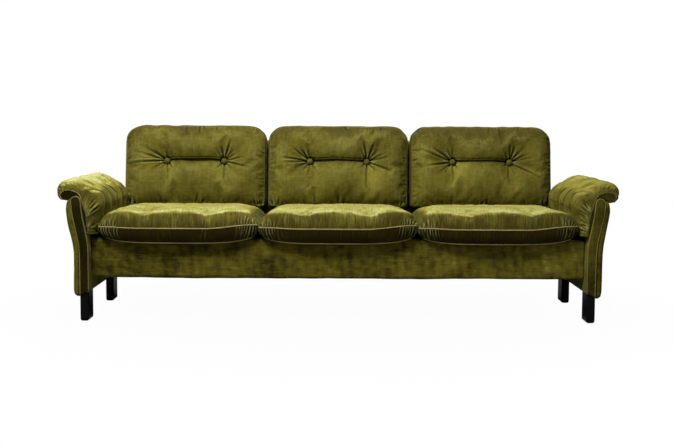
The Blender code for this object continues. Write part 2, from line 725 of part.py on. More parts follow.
def post_bolts(rear_rail, posts, steel):
    length = RAIL_THICK + 2 * CLEAR + BOLT_BITE
    head_y = BASE_REAR - RAIL_THICK - CLEAR
    height = REAR_RAIL_TOP - 2.2 * BOLT_HEAD_RADIUS
    for number, (x, post) in enumerate(posts, start=1):
        bolted(f"post_bolt_{number}", (x, head_y, height), (0, 1, 0), length, (rear_rail, post), steel)


# Cushions


def back_foot_height(y):
    """Height of the back cushions' foot plane in the seat frame, at a depth there."""
    foot_y, foot_z = seat_point(*lean(0, BACK_LIFT))
    return foot_z - math.tan(BACK_RAKE - SEAT_RAKE) * (y - foot_y)


def seat_cushion(index, frame, velvet):
    """A boxed cushion with a crowned top, a bowed front that hangs over the apron and two soft dimples."""
    name = "seat_cushion_" + SEAT_NAMES[index]
    front = APRON_FRONT - SEAT_ORIGIN_Y - SEAT_OVERHANG
    rear = seat_point(POST_FRONT - LINING - CLEAR, KNEE_HEIGHT)[0] - CLEAR
    middle, half = (front + rear) / 2, (rear - front) / 2
    foot = DECK_TOP + CLEAR
    hang_from = APRON_FRONT - SEAT_ORIGIN_Y + CLEAR

    def shape(s, t, r):
        level = (r + 1) / 2
        undercut = SEAT_UNDERCUT * (1 - level) ** 2.6
        x = (CUSHION_HALF * (1 - 0.012 * abs(t) ** 16) - undercut) * s
        reach = half * (1 - 0.030 * abs(s) ** 16)
        bow = SEAT_BOW * s * s * max(0.0, -t) ** 2
        y = middle + (reach - undercut) * t + bow
        crown = math.sqrt(max(0.0, (1 - s**8) * (1 - t**12)))
        z = SEAT_SEAM * level - SEAT_SAG * s**6 * max(0.0, -t) ** 6 * level
        if r > 0.999:
            z += (SEAT_THICK - SEAT_SEAM) * crown
            for place_s in (-TUFT_SHARE, TUFT_SHARE):
                apart = math.hypot((s - place_s) * CUSHION_HALF, (t + 1) * half - SEAT_DIMPLE_BACK)
                z -= SEAT_DIMPLE * (1 - smooth(0, TUFT_REACH, apart))
        droop = SEAT_DROOP * (1 - 0.7 * s**4) * (1 - level)
        z -= droop * smooth(0, SEAT_OVERHANG / 2, hang_from - y)
        z = min(z, back_foot_height(y) - CLEAR - foot)
        return Vector((x, y, z))

    across = [-0.97, -0.9, -0.78, -0.6, -0.4, -0.2, 0, 0.2, 0.4, 0.6, 0.78, 0.9, 0.97]
    deep = [-0.988, -0.955, -0.91, -0.85, -0.75, -0.6, -0.45, -0.3, -0.12, 0.1, 0.35, 0.6, 0.8, 0.92, 0.98]
    cushion = soft(name, (across, deep, evenly(3)), shape, velvet, parent=frame)
    cushion.location = (seat_x(index), 0, foot)


def back_cushion(index, frame, velvet, button_velvet):
    """A boxed cushion that stands on the seat and leans on the frame, drawn in at two buttons."""
    name = SEAT_NAMES[index]
    half = BACK_HEIGHT / 2
    tuft_t = (TUFT_HEIGHT - half) / half
    patch_s, patch_t = TUFT_FLAT / CUSHION_HALF, TUFT_FLAT / half
    tuft_x = TUFT_SHARE * CUSHION_HALF
    rear = -LINING - CLEAR

    def depth(s, t):
        """How far the front stands out of the gusset."""
        off_s, off_t = abs(abs(s) - TUFT_SHARE), abs(t - tuft_t)
        if off_s < 1.01 * patch_s and off_t < 1.01 * patch_t:
            s, t, off_s, off_t = TUFT_SHARE, tuft_t, 0, 0
        crown = BACK_CROWN * math.sqrt(max(0.0, (1 - abs(s) ** 3.5) * (1 - abs(t) ** 3.5)))
        apart = math.hypot(off_s * CUSHION_HALF, off_t * half)
        tuft = TUFT_DEPTH * (1 - min(1.0, apart / TUFT_REACH)) ** 2.4
        crease = CREASE_DEPTH * max(0.0, 1 - off_t / patch_t) * (abs(s) < TUFT_SHARE)
        return crown - max(tuft, crease)

    def shape(s, t, r):
        corner = 0.075 * max(0.0, t) ** 9 + 0.02 * max(0.0, -t) ** 14
        waist = BACK_WAIST * (1 - t * t)
        x = (CUSHION_HALF * (1 - corner) - waist * abs(s) ** 4) * s
        corner = 0.125 * max(0.0, t) * abs(s) ** 14 + 0.03 * max(0.0, -t) * abs(s) ** 20
        z = half * (1 + t) - half * corner * math.copysign(1, t)
        edge = BACK_ROUND * r * r
        x -= edge * math.copysign(abs(s) ** 6, s)
        z -= edge * math.copysign(abs(t) ** 6, t) * (t > 0)
        y = rear - BACK_GUSSET * (r + 1) / 2
        if r > 0.999:
            y -= depth(s, t)
        return Vector((x, y, z))

    tufts = [side * TUFT_SHARE + d * patch_s for side in (-1, 1) for d in (-1, 0, 1)]
    across = [*tufts, *(side * place_s for side in (-1, 1) for place_s in (0.97, 0.91, 0.8, 0.62, 0.2)), 0]
    high = [tuft_t + d * patch_t for d in (-1, 0, 1)]
    high += [-0.97, -0.9, -0.75, -0.5, -0.2, 0.36, 0.55, 0.75, 0.88, 0.95]
    cushion = soft("back_cushion_" + name, (across, high, evenly(3)), shape, velvet, parent=frame)
    cushion.location = (seat_x(index), 0, BACK_LIFT + CLEAR)
    seat_of_button = rear - BACK_GUSSET - depth(TUFT_SHARE, tuft_t)
    for label, side in SIDES.items():
        made = button(f"button_{name}_{label}", button_velvet)
        made.parent = cushion
        made.location = (side * tuft_x, seat_of_button - CLEAR, TUFT_HEIGHT)
        made.rotation_euler = (math.radians(90), 0, 0)


def button(name, velvet):
    """A covered button: a low dome on a rim."""
    dome = [(BUTTON_RADIUS * u, BUTTON_RIM + BUTTON_DOME * v) for u, v in arc((0, 0), 1, 67.5, 0, 3)]
    profile = [(0, BUTTON_RIM + BUTTON_DOME), *dome, (BUTTON_RADIUS, 0), (0, 0)]
    return turned(name, profile, BOLT_SIDES, velvet)


def build():
    velvet = finish("moss_velvet", (0.105, 0.088, 0.012), 0.85)
    button_velvet = finish("button_velvet", (0.09, 0.075, 0.010), 0.85)
    lacquer = finish("black_lacquer", (0.006, 0.005, 0.005), 0.3)
    beech = finish("beech", (0.45, 0.28, 0.14), 0.6)
    board = finish("particle_board", (0.38, 0.26, 0.15), 0.8)
    webbing = finish("webbing", (0.05, 0.04, 0.03), 0.9)
    cloth = finish("lining_cloth", (0.012, 0.012, 0.012), 0.95)
    steel = finish("zinc_steel", (0.6, 0.6, 0.58), 0.35, 1.0)

    seat_frame = rake_frame("seat_frame", SEAT_ORIGIN_Y, SEAT_ORIGIN_Z, SEAT_RAKE)
    back_frame = rake_frame("back_frame", POST_FRONT, KNEE_HEIGHT, BACK_RAKE)
    rear_rail, end_rails = base_frame(beech)
    seat_webbing(seat_frame, webbing)
    seat_deck(seat_frame, cloth)
    front_apron(velvet)
    dust_cover(cloth)
    posts = back_posts(beech)
    back_rails_and_straps(back_frame, beech, webbing)
    back_cover(velvet)
    post_bolts(rear_rail, posts, steel)
    for name, side in SIDES.items():
        core, cover = arm_panel(name, side, velvet, board)
        arm_pad(name, side, velvet)
        for where, y in (("front", FRONT_LEG_Y), ("rear", REAR_LEG_Y)):
            cut(core, leg(f"{name}_{where}", side, y, lacquer))
        arm_bolts(name, side, end_rails[name], core, cover, steel)
    for index in range(len(SEAT_NAMES)):
        seat_cushion(index, seat_frame, velvet)
        back_cushion(index, back_frame, velvet, button_velvet)


clear_scene()
SOFA = collection("velvet_sofa")
CUTTERS = collection("cutters")
build()
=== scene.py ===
import math

import bpy
import numpy as np
from mathutils import Matrix, Vector

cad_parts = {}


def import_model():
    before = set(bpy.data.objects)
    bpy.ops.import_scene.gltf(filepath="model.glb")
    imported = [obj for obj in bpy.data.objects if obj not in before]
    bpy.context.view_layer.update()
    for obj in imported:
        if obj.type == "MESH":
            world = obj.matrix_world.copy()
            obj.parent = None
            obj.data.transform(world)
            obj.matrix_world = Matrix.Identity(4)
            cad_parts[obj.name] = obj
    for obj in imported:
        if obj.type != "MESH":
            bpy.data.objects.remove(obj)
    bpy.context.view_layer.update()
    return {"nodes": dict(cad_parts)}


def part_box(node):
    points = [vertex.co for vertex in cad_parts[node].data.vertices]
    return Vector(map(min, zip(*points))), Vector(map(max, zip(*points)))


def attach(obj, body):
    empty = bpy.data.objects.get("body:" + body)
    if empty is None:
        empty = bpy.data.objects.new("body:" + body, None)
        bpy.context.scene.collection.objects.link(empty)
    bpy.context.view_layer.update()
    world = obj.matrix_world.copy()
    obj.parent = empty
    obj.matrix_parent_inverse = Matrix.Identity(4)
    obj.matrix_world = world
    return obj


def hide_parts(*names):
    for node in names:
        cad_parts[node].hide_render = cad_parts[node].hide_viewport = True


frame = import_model()

# Sizes of the frame that the soft pieces follow, in metres
CLEAR = 0.0003
SEATS = ("left", "middle", "right")
SIDES = {"left": -1, "right": 1}
PITCH = 0.640
CUSHION_HALF = 0.3185
SEAT_RAKE, BACK_RAKE = math.radians(2), math.radians(10)
SEAT_ORIGIN = (-0.312, 0.3183)
BACK_ORIGIN = (0.2963, 0.330)
DECK_TOP = 0.0113
BASE_HALF = 0.9923
LINING = 0.0076
FOOT_TOP, FOOT_ROUND = 0.1177, 0.010

# Apron: its outer faces, its inner faces, the ends of its two flaps and its round edge
APRON_FRONT, APRON_BOTTOM, APRON_TOP = -0.3503, 0.1697, 0.3293
APRON_INNER, APRON_INNER_BOTTOM, APRON_INNER_TOP = -0.3403, 0.1797, 0.3183
APRON_UNDER_END, APRON_TOP_END = -0.316, -0.3263
APRON_EDGE, APRON_SWAY = 0.012, 0.0010

# Back cover
BACK_FOOT, BACK_HALF, BACK_TOP, BACK_REAR = 0.180, 0.9726, 0.3893, 0.0363
BACK_TOP_ROUND = 0.010

# Arm panels and the pads on their outer faces
ARM_FRONT, ARM_REAR, ARM_TOP = -0.400, 0.330, 0.502
ARM_MIDDLE, ARM_HALF = (ARM_FRONT + ARM_REAR) / 2, (ARM_REAR - ARM_FRONT) / 2
ARM_FACE, PANEL, ARCH_Z = 0.9926, 0.0430, 0.4805
ARM_FLARE, FLARE_START = 0.028, 0.280
FOOT_INNER, FOOT_OUTER, PANEL_PUFF = 0.122, 0.104, 0.004
OUTER_PAD, OUTER_FOOT, OUTER_DROP = 0.0215, 0.098, 0.008
OUTER_TAPER, OUTER_FOOT_TAPER, OUTER_SLACK = 0.080, 0.042, 0.02

# Arm pads. Their rear edge, inner face and lip are fuller than those of the solids
SEAT_FACE = 0.9603
PAD_FRONT, PAD_REAR, PAD_FOOT = -0.392, 0.220, 0.350
PAD_MIDDLE, PAD_HALF = (PAD_FRONT + PAD_REAR) / 2, (PAD_REAR - PAD_FRONT) / 2
PAD_TOP, PAD_BULGE, PAD_ROLLS, PAD_CHANNEL = 0.072, 0.025, 5, 0.012
PAD_LIP_X, PAD_GIRTH = 1.1354, 0.34
PAD_FRONT_ROUND, PAD_REAR_ROUND = 0.062, 0.024
PAD_END, LIP_END, LIP_TIP = 0.14, 0.12, 0.32

# Seat cushions
SEAT_FRONT, SEAT_REAR = -0.0983, 0.5977
SEAT_MIDDLE, SEAT_HALF = (SEAT_FRONT + SEAT_REAR) / 2, (SEAT_REAR - SEAT_FRONT) / 2
SEAT_THICK, SEAT_SEAM, SEAT_UNDERCUT = 0.118, 0.042, 0.030
SEAT_BOW, SEAT_DROOP, SEAT_SAG, SEAT_OVERHANG = 0.018, 0.024, 0.003, 0.060
SEAT_DIMPLE, SEAT_DIMPLE_BACK = 0.012, 0.090
SEAM_RISE_LEFT, SEAM_RISE_RIGHT = 0.007, 0.018

# Back cushions
BACK_LIFT, BACK_HEIGHT, BACK_GUSSET, BACK_CROWN = 0.076, 0.370, 0.080, 0.052
BACK_MIDDLE = BACK_HEIGHT / 2
BACK_ROUND, BACK_WAIST, BACK_LET_OUT = 0.010, 0.002, 0.006
TUFT_SHARE, TUFT_HEIGHT, TUFT_DEPTH, TUFT_REACH = 0.40, 0.200, 0.034, 0.100
TUFT_X, TUFT_T = TUFT_SHARE * CUSHION_HALF, (TUFT_HEIGHT - BACK_MIDDLE) / BACK_MIDDLE
BUTTON_RADIUS, BUTTON_RISE, BUTTON_SINK = 0.0125, 0.009, 0.004

# Radii of the cords in the seams
SEAT_CORD, BACK_CORD, PAD_CORD, PANEL_CORD = 0.0026, 0.0022, 0.0016, 0.0018
COVER_CORD, COVER_SEAM_CORD = 0.0028, 0.0020


# Materials


def add(tree, kind, inputs=None, **settings):
    """A node with its settings, its values and its links."""
    made = tree.nodes.new(kind)
    for key, value in settings.items():
        setattr(made, key, value)
    for key, value in (inputs or {}).items():
        if isinstance(value, bpy.types.NodeSocket):
            tree.links.new(value, made.inputs[key])
        else:
            made.inputs[key].default_value = value
    return made


def new_material(name):
    made = bpy.data.materials.new(name)
    made.use_nodes = True
    tree = made.node_tree
    where = add(tree, "ShaderNodeTexCoord").outputs["Object"]
    return made, tree, tree.nodes["Principled BSDF"], where


def noise(tree, where, stretch, detail=3.0, rough=0.5, bend=0.0):
    """Noise over a place that is stretched by three factors."""
    spread = add(tree, "ShaderNodeVectorMath", {0: where, 1: stretch}, operation="MULTIPLY").outputs[0]
    values = {"Vector": spread, "Scale": 1.0, "Detail": detail, "Roughness": rough, "Distortion": bend}
    return add(tree, "ShaderNodeTexNoise", values).outputs["Fac"]


def maths(tree, operation, *values):
    return add(tree, "ShaderNodeMath", dict(enumerate(values)), operation=operation).outputs[0]


def weighted(tree, *pairs):
    """The sum of several values, each times its weight."""
    total = 0.0
    for value, weight in pairs:
        total = maths(tree, "MULTIPLY_ADD", value, weight, total)
    return total


def between(tree, value, low, high, first=0.0, second=1.0):
    values = {"Value": value, "From Min": low, "From Max": high, "To Min": first, "To Max": second}
    return add(tree, "ShaderNodeMapRange", values).outputs["Result"]


def blend(tree, share, first, second):
    """A colour between two others."""
    made = tree.nodes.new("ShaderNodeMix")
    made.data_type = "RGBA"
    for key, value in (("Factor_Float", share), ("A_Color", first), ("B_Color", second)):
        socket = next(s for s in made.inputs if s.identifier == key)
        if isinstance(value, bpy.types.NodeSocket):
            tree.links.new(value, socket)
        else:
            socket.default_value = value if key == "Factor_Float" else (*value, 1.0)
    return next(s for s in made.outputs if s.identifier == "Result_Color")


def surface(tree, shader, colour, rough, height, strength, distance):
    """Gives a shader its colour, its roughness and its bump."""
    tree.links.new(colour, shader.inputs["Base Color"])
    tree.links.new(rough, shader.inputs["Roughness"])
    bump = add(tree, "ShaderNodeBump", {"Height": height, "Strength": strength, "Distance": distance})
    tree.links.new(bump.outputs["Normal"], shader.inputs["Normal"])


def velvet(name, dark, light, rows=(14, 125, 125), strokes=(90, 60, 10), sheen=0.5, contrast=1.0):
    """Brushed cotton velvet: clouds of pile, rows of weave, brush strokes, rubbed folds and painted light.
    rows and strokes are how fine the weave and the brush strokes are along the three axes. A point tone
    lightens the colour up to a pale painted highlight or darkens it as painted shade, creases are darkened
    as painted shade, and fold ridges turn paler, part rubbed wear and part painted highlight."""
    made, tree, shader, where = new_material(name)
    clouds = noise(tree, where, (13, 13, 13), 6, 0.64, 0.6)
    weave = noise(tree, where, rows, 3, 0.7)
    brush = noise(tree, where, strokes, 3, 0.6, 0.4)
    fibre = noise(tree, where, (900, 900, 900), 2)
    nap_and_painted_light = add(tree, "ShaderNodeAttribute", attribute_name="nap_and_painted_light").outputs["Fac"]
    fold = add(tree, "ShaderNodeAttribute", attribute_name="fold").outputs["Fac"]
    pile = weighted(tree, (clouds, 0.8), (weave, 0.9), (brush, 0.9), (fibre, 0.3))
    middle, spread = 1.45, 0.62 / contrast
    # The point tone carries the pile's own patches and painted light: lit faces lighter, shaded faces darker
    tone = weighted(tree, (between(tree, pile, middle - spread, middle + spread), 1.0), (nap_and_painted_light, 0.4))
    colour = blend(tree, between(tree, tone, 0.0, 1.0), dark, light)
    # Past the light tone the colour goes on to a pale painted highlight
    colour = blend(tree, between(tree, tone, 1.0, 1.8), colour, tuple(c * 0.85 for c in PALE_WEAR_AND_HIGHLIGHT))
    # Fold ridges turn paler in brush streaks: part rubbed wear, part painted highlight
    streaks = between(tree, brush, 0.3, 0.65, 0.3, 1.0)
    rubbed_and_highlit = maths(tree, "MULTIPLY", between(tree, fold, 0.10, 1.0), streaks)
    colour = blend(tree, maths(tree, "MULTIPLY", rubbed_and_highlit, 0.55), colour, PALE_WEAR_AND_HIGHLIGHT)
    # Creases and hollows are darkened: painted shade
    sunk = between(tree, fold, -0.05, -1.0)
    colour = blend(tree, maths(tree, "MULTIPLY", sunk, 0.85), colour, tuple(c * 0.18 for c in dark))
    rough = between(tree, weighted(tree, (weave, 0.5), (fibre, 0.5)), 0.3, 0.7, 0.72, 0.96)
    height = weighted(tree, (fibre, 0.3), (weave, 0.5), (brush, 0.6))
    surface(tree, shader, colour, rough, height, 0.5, 0.0016)
    shader.inputs["Specular IOR Level"].default_value = 0.06
    shader.inputs["Sheen Weight"].default_value = sheen
    shader.inputs["Sheen Roughness"].default_value = 0.30
    shader.inputs["Sheen Tint"].default_value = (0.90, 0.94, 0.30, 1.0)
    return made


def lacquer():
    made, tree, shader, where = new_material("black_lacquer_gloss")
    grain = noise(tree, where, (90, 90, 14), 4, 0.6)
    dust = noise(tree, where, (240, 240, 240), 2)
    tone = between(tree, grain, 0.3, 0.75)
    colour = blend(tree, tone, (0.0020, 0.0016, 0.0016), (0.0055, 0.0045, 0.0045))
    rough = between(tree, weighted(tree, (grain, 0.6), (dust, 0.4)), 0.3, 0.7, 0.26, 0.42)
    surface(tree, shader, colour, rough, grain, 0.12, 0.0006)
    shader.inputs["Specular IOR Level"].default_value = 0.09
    return made


def timber(name, dark, light, stretch):
    """Sawn wood with grain lines along one axis."""
    made, tree, shader, where = new_material(name)
    grain = noise(tree, where, stretch, 5, 0.62, 0.7)
    pores = noise(tree, where, tuple(4 * k for k in stretch), 3, 0.6)
    tone = between(tree, weighted(tree, (grain, 0.75), (pores, 0.35)), 0.35, 0.75)
    rough = between(tree, pores, 0.3, 0.7, 0.5, 0.72)
    surface(tree, shader, blend(tree, tone, dark, light), rough, pores, 0.25, 0.0006)
    return made


def chips():
    """Pressed board of wood chips."""
    made, tree, shader, where = new_material("pressed_board")
    cells = add(tree, "ShaderNodeTexVoronoi", {"Vector": where, "Scale": 190.0, "Randomness": 1.0})
    fine = noise(tree, where, (420, 420, 420), 3)
    shade = add(tree, "ShaderNodeSeparateColor", {0: cells.outputs["Color"]}).outputs[0]
    tone = weighted(tree, (shade, 0.6), (fine, 0.5))
    colour = blend(tree, tone, (0.24, 0.15, 0.075), (0.52, 0.38, 0.22))
    surface(tree, shader, colour, between(tree, fine, 0.3, 0.7, 0.7, 0.9), tone, 0.3, 0.0006)
    return made


def woven(name, dark, light, count, rough=0.85):
    """Plain-woven cloth: two sets of threads, count to the metre."""
    made, tree, shader, where = new_material(name)
    threads = []
    for direction in ("X", "Y", "Z"):
        values = {"Vector": where, "Scale": count / 2, "Distortion": 0.3, "Detail": 1.0}
        threads.append(add(tree, "ShaderNodeTexWave", values, bands_direction=direction).outputs["Fac"])
    wear = noise(tree, where, (14, 14, 14), 5, 0.6)
    height = maths(tree, "MAXIMUM", maths(tree, "MULTIPLY", threads[0], threads[1]), threads[2])
    tone = between(tree, weighted(tree, (height, 0.5), (wear, 0.6)), 0.2, 0.9)
    worn_rough = between(tree, wear, 0.3, 0.7, rough - 0.08, rough + 0.1)
    surface(tree, shader, blend(tree, tone, dark, light), worn_rough, height, 0.4, 0.0008)
    shader.inputs["Specular IOR Level"].default_value = 0.2
    return made


def zinc():
    made, tree, shader, where = new_material("zinc_plate")
    bloom = noise(tree, where, (160, 160, 160), 4, 0.6)
    colour = blend(tree, bloom, (0.42, 0.42, 0.40), (0.66, 0.66, 0.63))
    surface(tree, shader, colour, between(tree, bloom, 0.3, 0.7, 0.28, 0.5), bloom, 0.15, 0.0004)
    shader.inputs["Metallic"].default_value = 1.0
    return made


# The third colour is the pale of rubbed pile and of painted highlights
DARK, LIGHT, PALE_WEAR_AND_HIGHLIGHT = (0.046, 0.037, 0.0036), (0.172, 0.152, 0.0215), (0.36, 0.365, 0.135)
CUSHION_VELVET = velvet("moss_velvet_cushion", DARK, LIGHT, sheen=0.25, contrast=0.85)
SEAT_VELVET = velvet("moss_velvet_seat", DARK, LIGHT, (120, 16, 16), (210, 22, 22), 0.06, 1.9)
ARM_VELVET = velvet("moss_velvet_arm", DARK, LIGHT, (120, 20, 120), (60, 130, 40), 0.06)
# A darker copy of the velvet for the back cushions' sides: painted shade
GUSSET_DARK, GUSSET_LIGHT = (0.026, 0.020, 0.0018), (0.105, 0.090, 0.0110)
SHADED_GUSSET_VELVET = velvet("moss_velvet_gusset_shaded", GUSSET_DARK, GUSSET_LIGHT, (14, 120, 120), sheen=0.2)
# A darker copy of the velvet for the seat band between the pipings: painted shade
BAND_DARK, BAND_LIGHT = (0.018, 0.0125, 0.0004), (0.070, 0.052, 0.0020)
SHADED_BAND_VELVET = velvet("moss_velvet_band_shaded", BAND_DARK, BAND_LIGHT, (120, 120, 20), (170, 40, 12), 0.15)
# A darker copy of the velvet for the arm panels' fronts and the pads' front ends: painted shade
PANEL_DARK, PANEL_LIGHT = (0.006, 0.0045, 0.0004), (0.024, 0.018, 0.0016)
PANEL_VELVET = velvet("moss_velvet_panel", PANEL_DARK, PANEL_LIGHT, sheen=0.15)
# A lighter copy of the panel velvet for the right arm: painted light, where the left arm's darker copy is
# painted shade
LIT_DARK, LIT_LIGHT = (0.020, 0.016, 0.0012), (0.088, 0.074, 0.0072)
LIT_PANEL_VELVET = velvet("moss_velvet_panel_lit", LIT_DARK, LIT_LIGHT, sheen=0.15, contrast=1.3)
APRON_DARK, APRON_LIGHT = (0.028, 0.022, 0.0014), (0.140, 0.118, 0.0120)
APRON_VELVET = velvet("moss_velvet_apron", APRON_DARK, APRON_LIGHT, (16, 120, 120), (46, 36, 30), 0.4, 1.7)
BUTTON_VELVET = velvet("moss_velvet_button", (0.055, 0.044, 0.004), (0.16, 0.14, 0.018))
FINE = (300, 300, 300)
PIPING = velvet("piping_cord", (0.17, 0.135, 0.045), (0.38, 0.32, 0.14), FINE, FINE, 0.4)
ARM_PIPING = velvet("piping_cord_arm", (0.10, 0.080, 0.018), (0.26, 0.22, 0.070), FINE, FINE, 0.3)
DARK_PIPING = velvet("piping_cord_dark", (0.070, 0.056, 0.010), (0.16, 0.13, 0.035), FINE, FINE, 0.3)
LOWER_PIPING = velvet("piping_cord_lower", (0.17, 0.13, 0.042), (0.36, 0.29, 0.115), FINE, FINE, 0.2)
LACQUER = lacquer()


# Meshes

# Soft blocks have places s, t and r from -1 to 1, and their swollen face lies at an r past this
FACE = 0.999


def smooth(start, end, value):
    share = np.clip((value - start) / (end - start), 0.0, 1.0)
    return share * share * (3 - 2 * share)


def bell(value, width):
    return np.exp(-((value / width) ** 2))


def lines(count, edge=0.35, focus=()):
    """Places from -1 to 1, closer together near both ends and near each (place, reach, gain) of focus."""
    fine = np.linspace(-1, 1, 6001)
    weight = 1 + edge / np.sqrt(1 - np.abs(fine) + 0.0006)
    for middle, reach, gain in focus:
        weight += gain * bell(fine - middle, reach)
    total = np.concatenate([[0], np.cumsum((weight[1:] + weight[:-1]) / 2)])
    places = np.interp(np.linspace(0, total[-1], count + 1), total, fine)
    places[0], places[-1] = -1, 1
    return places


def cells(number):
    """Quads between the lines of a grid of point numbers."""
    return np.stack([number[:-1, :-1], number[1:, :-1], number[1:, 1:], number[:-1, 1:]], -1)


def shell(*axes):
    """Points and quads of the skin of a block that has lines at the given places on its three axes."""
    block = np.stack(np.meshgrid(*axes, indexing="ij"), -1)
    skin = np.zeros(block.shape[:3], bool)
    faces = []
    for axis in range(3):
        for end in (0, -1):
            where = [slice(None)] * 3
            where[axis] = end
            faces.append((tuple(where), (end == 0) != (axis == 1)))
            skin[tuple(where)] = True
    number = np.full(skin.shape, -1)
    number[skin] = np.arange(skin.sum())
    quads = []
    for where, turned in faces:
        quad = cells(number[where]).reshape(-1, 4)
        quads.append(quad[:, ::-1] if turned else quad)
    return block[skin].T, np.concatenate(quads)


def facing_out(points, quads):
    """The quads of a closed skin, turned so that they face out of it."""
    a, b, c, d = (points[quads[:, k]] for k in range(4))
    inward = np.sum((a + c) * np.cross(c - a, d - b)) < 0
    return quads[:, ::-1] if inward else quads


def outward(points, quads):
    """A unit normal at every point of a closed skin, pointing out of it."""
    quads = facing_out(points, quads)
    a, b, c, d = (points[quads[:, k]] for k in range(4))
    face = np.cross(c - a, d - b)
    total = [np.bincount(quads.T.ravel(), np.tile(face[:, k], 4), len(points)) for k in range(3)]
    total = np.stack(total, -1)
    return total / np.maximum(np.linalg.norm(total, axis=1, keepdims=True), 1e-12)


def pushed(points, quads, field):
    """The points of a closed skin, each moved out of it by its value of the field."""
    return points + outward(points, quads) * field[:, None]


def on_sides(r, quads):
    """Which quads of a block lie on its sides, between its two faces."""
    return np.ptp(r[quads], axis=1) > 1e-6


def to_edge(s, t):
    """Share of the way from the nearest edge of a block's face to its middle."""
    return np.minimum(1 - np.abs(s), 1 - np.abs(t))


def wander(points, size, seed):
    """A slow random wave over space, about -1 to 1, with bumps of about the given size."""
    random = np.random.default_rng(seed)
    total = np.zeros(len(points))
    for _ in range(9):
        direction = random.normal(size=3)
        direction *= random.uniform(0.6, 1.5) / np.linalg.norm(direction)
        total += np.sin(points @ direction * (math.pi / size) + random.uniform(0, 2 * math.pi))
    return total / 3


def crease(u, v, start, end, width, depth, lip=0.4):
    """A fold from start to end over a flat field: a valley that fades out, with a soft lip on both sides."""
    du, dv = end[0] - start[0], end[1] - start[1]
    share = np.clip(((u - start[0]) * du + (v - start[1]) * dv) / (du * du + dv * dv), 0, 1)
    apart = np.hypot(u - start[0] - share * du, v - start[1] - share * dv)
    wide = width * (0.7 + 0.7 * share)
    fade = (1 - share) ** 0.9
    return depth * fade * (lip * bell(apart - 2.1 * wide, wide) - bell(apart, wide))


def raked(points, angle, origin):
    """From a frame that leans back by an angle to the room."""
    c, s = math.cos(angle), math.sin(angle)
    x, y, z = points.T
    return np.stack([x, origin[0] + y * c + z * s, origin[1] - y * s + z * c], -1)


def seat_place(points, index):
    """From a seat cushion's own frame to the room."""
    return raked(points + ((index - 1) * PITCH, 0, 0), SEAT_RAKE, SEAT_ORIGIN)


def back_place(points, s, index):
    """From a back cushion's own frame to the room. The outer sides of the row are let out a little."""
    outer = index - 1
    points = points + (outer * PITCH, 0, BACK_LIFT + CLEAR)
    points[:, 0] += outer * BACK_LET_OUT * np.maximum(0, outer * s) ** 2
    return raked(points, BACK_RAKE, BACK_ORIGIN)


def piece(
    name, points, quads, material, nodes=(), body="frame",
    fold=None, nap_and_painted_light=None, second=None,
):
    """A mesh piece that rides on a body and stands for CAD nodes. A fold value and a point tone of pile and
    painted light go to its material.
    second is another material and the quads that have it."""
    mesh = bpy.data.meshes.new(name)
    mesh.from_pydata(points.tolist(), [], facing_out(points, quads).tolist())
    mesh.shade_smooth()
    for key, values in (("fold", fold), ("nap_and_painted_light", nap_and_painted_light)):
        if values is not None:
            mesh.attributes.new(key, "FLOAT", "POINT").data.foreach_set("value", values.astype(np.float32))
    mesh.materials.append(material)
    if second:
        mesh.materials.append(second[0])
        mesh.polygons.foreach_set("material_index", second[1].astype(np.int32))
    obj = bpy.data.objects.new(name, mesh)
    bpy.context.scene.collection.objects.link(obj)
    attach(obj, body)
    if nodes:
        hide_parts(*nodes)
    return obj


def round_rings(steps, count, sides):
    """Quads from ring to ring round a row of rings of points, for a number of steps."""
    quads = []
    for k in range(steps):
        for m in range(sides):
            n, after = (m + 1) % sides, (k + 1) % count
            quads.append((k * sides + m, k * sides + n, after * sides + n, after * sides + m))
    return quads


def tube(name, path, radius, material, body="frame", closed=True):
    """A cord along a path, with a light twist in its surface."""
    sides = 8
    ahead = np.roll(path, -1, 0) - np.roll(path, 1, 0)
    if not closed:
        ahead[0], ahead[-1] = path[1] - path[0], path[-1] - path[-2]
    ahead /= np.linalg.norm(ahead, axis=1, keepdims=True)
    normal = np.cross(ahead[0], (0.31, 0.17, 0.93))
    rings = []
    length = np.concatenate([[0], np.cumsum(np.linalg.norm(np.diff(path, axis=0), axis=1))])
    angles = np.arange(sides) * 2 * math.pi / sides
    for point, forward, place in zip(path, ahead, length):
        normal = normal - forward * (normal @ forward)
        normal /= np.linalg.norm(normal)
        other = np.cross(forward, normal)
        swell = radius * (1 + 0.07 * np.sin(2 * angles + place * 420))
        ring = np.outer(np.cos(angles) * swell, normal) + np.outer(np.sin(angles) * swell, other)
        rings.append(point + ring)
    count = len(path)
    quads = round_rings(count if closed else count - 1, count, sides)
    if not closed:
        for ring in (0, count - 1):
            first = ring * sides
            for m in range(1, sides - 2, 2):
                corners = (first, first + m, first + m + 1, first + (m + 2) % sides)
                quads.append(corners[::-1] if ring == 0 else corners)
    return piece(name, np.concatenate(rings), np.array(quads), material, body=body)


def round_the_edge(count):
    """(s, t) places round the edge of a square from -1 to 1."""
    run = lines(count, 0.12)[:-1]
    one = np.ones_like(run)
    return np.concatenate([run, one, -run, -one]), np.concatenate([-one, run, one, -run])


# Cloth

CLOTH_FRAMES = 20
CLOTH_PRESSURE = 4.0
CLOTH_CAP = 0.026  # the farthest that a point may move
RELIEF_HEIGHT, RELIEF_BLUR = 0.0024, 24


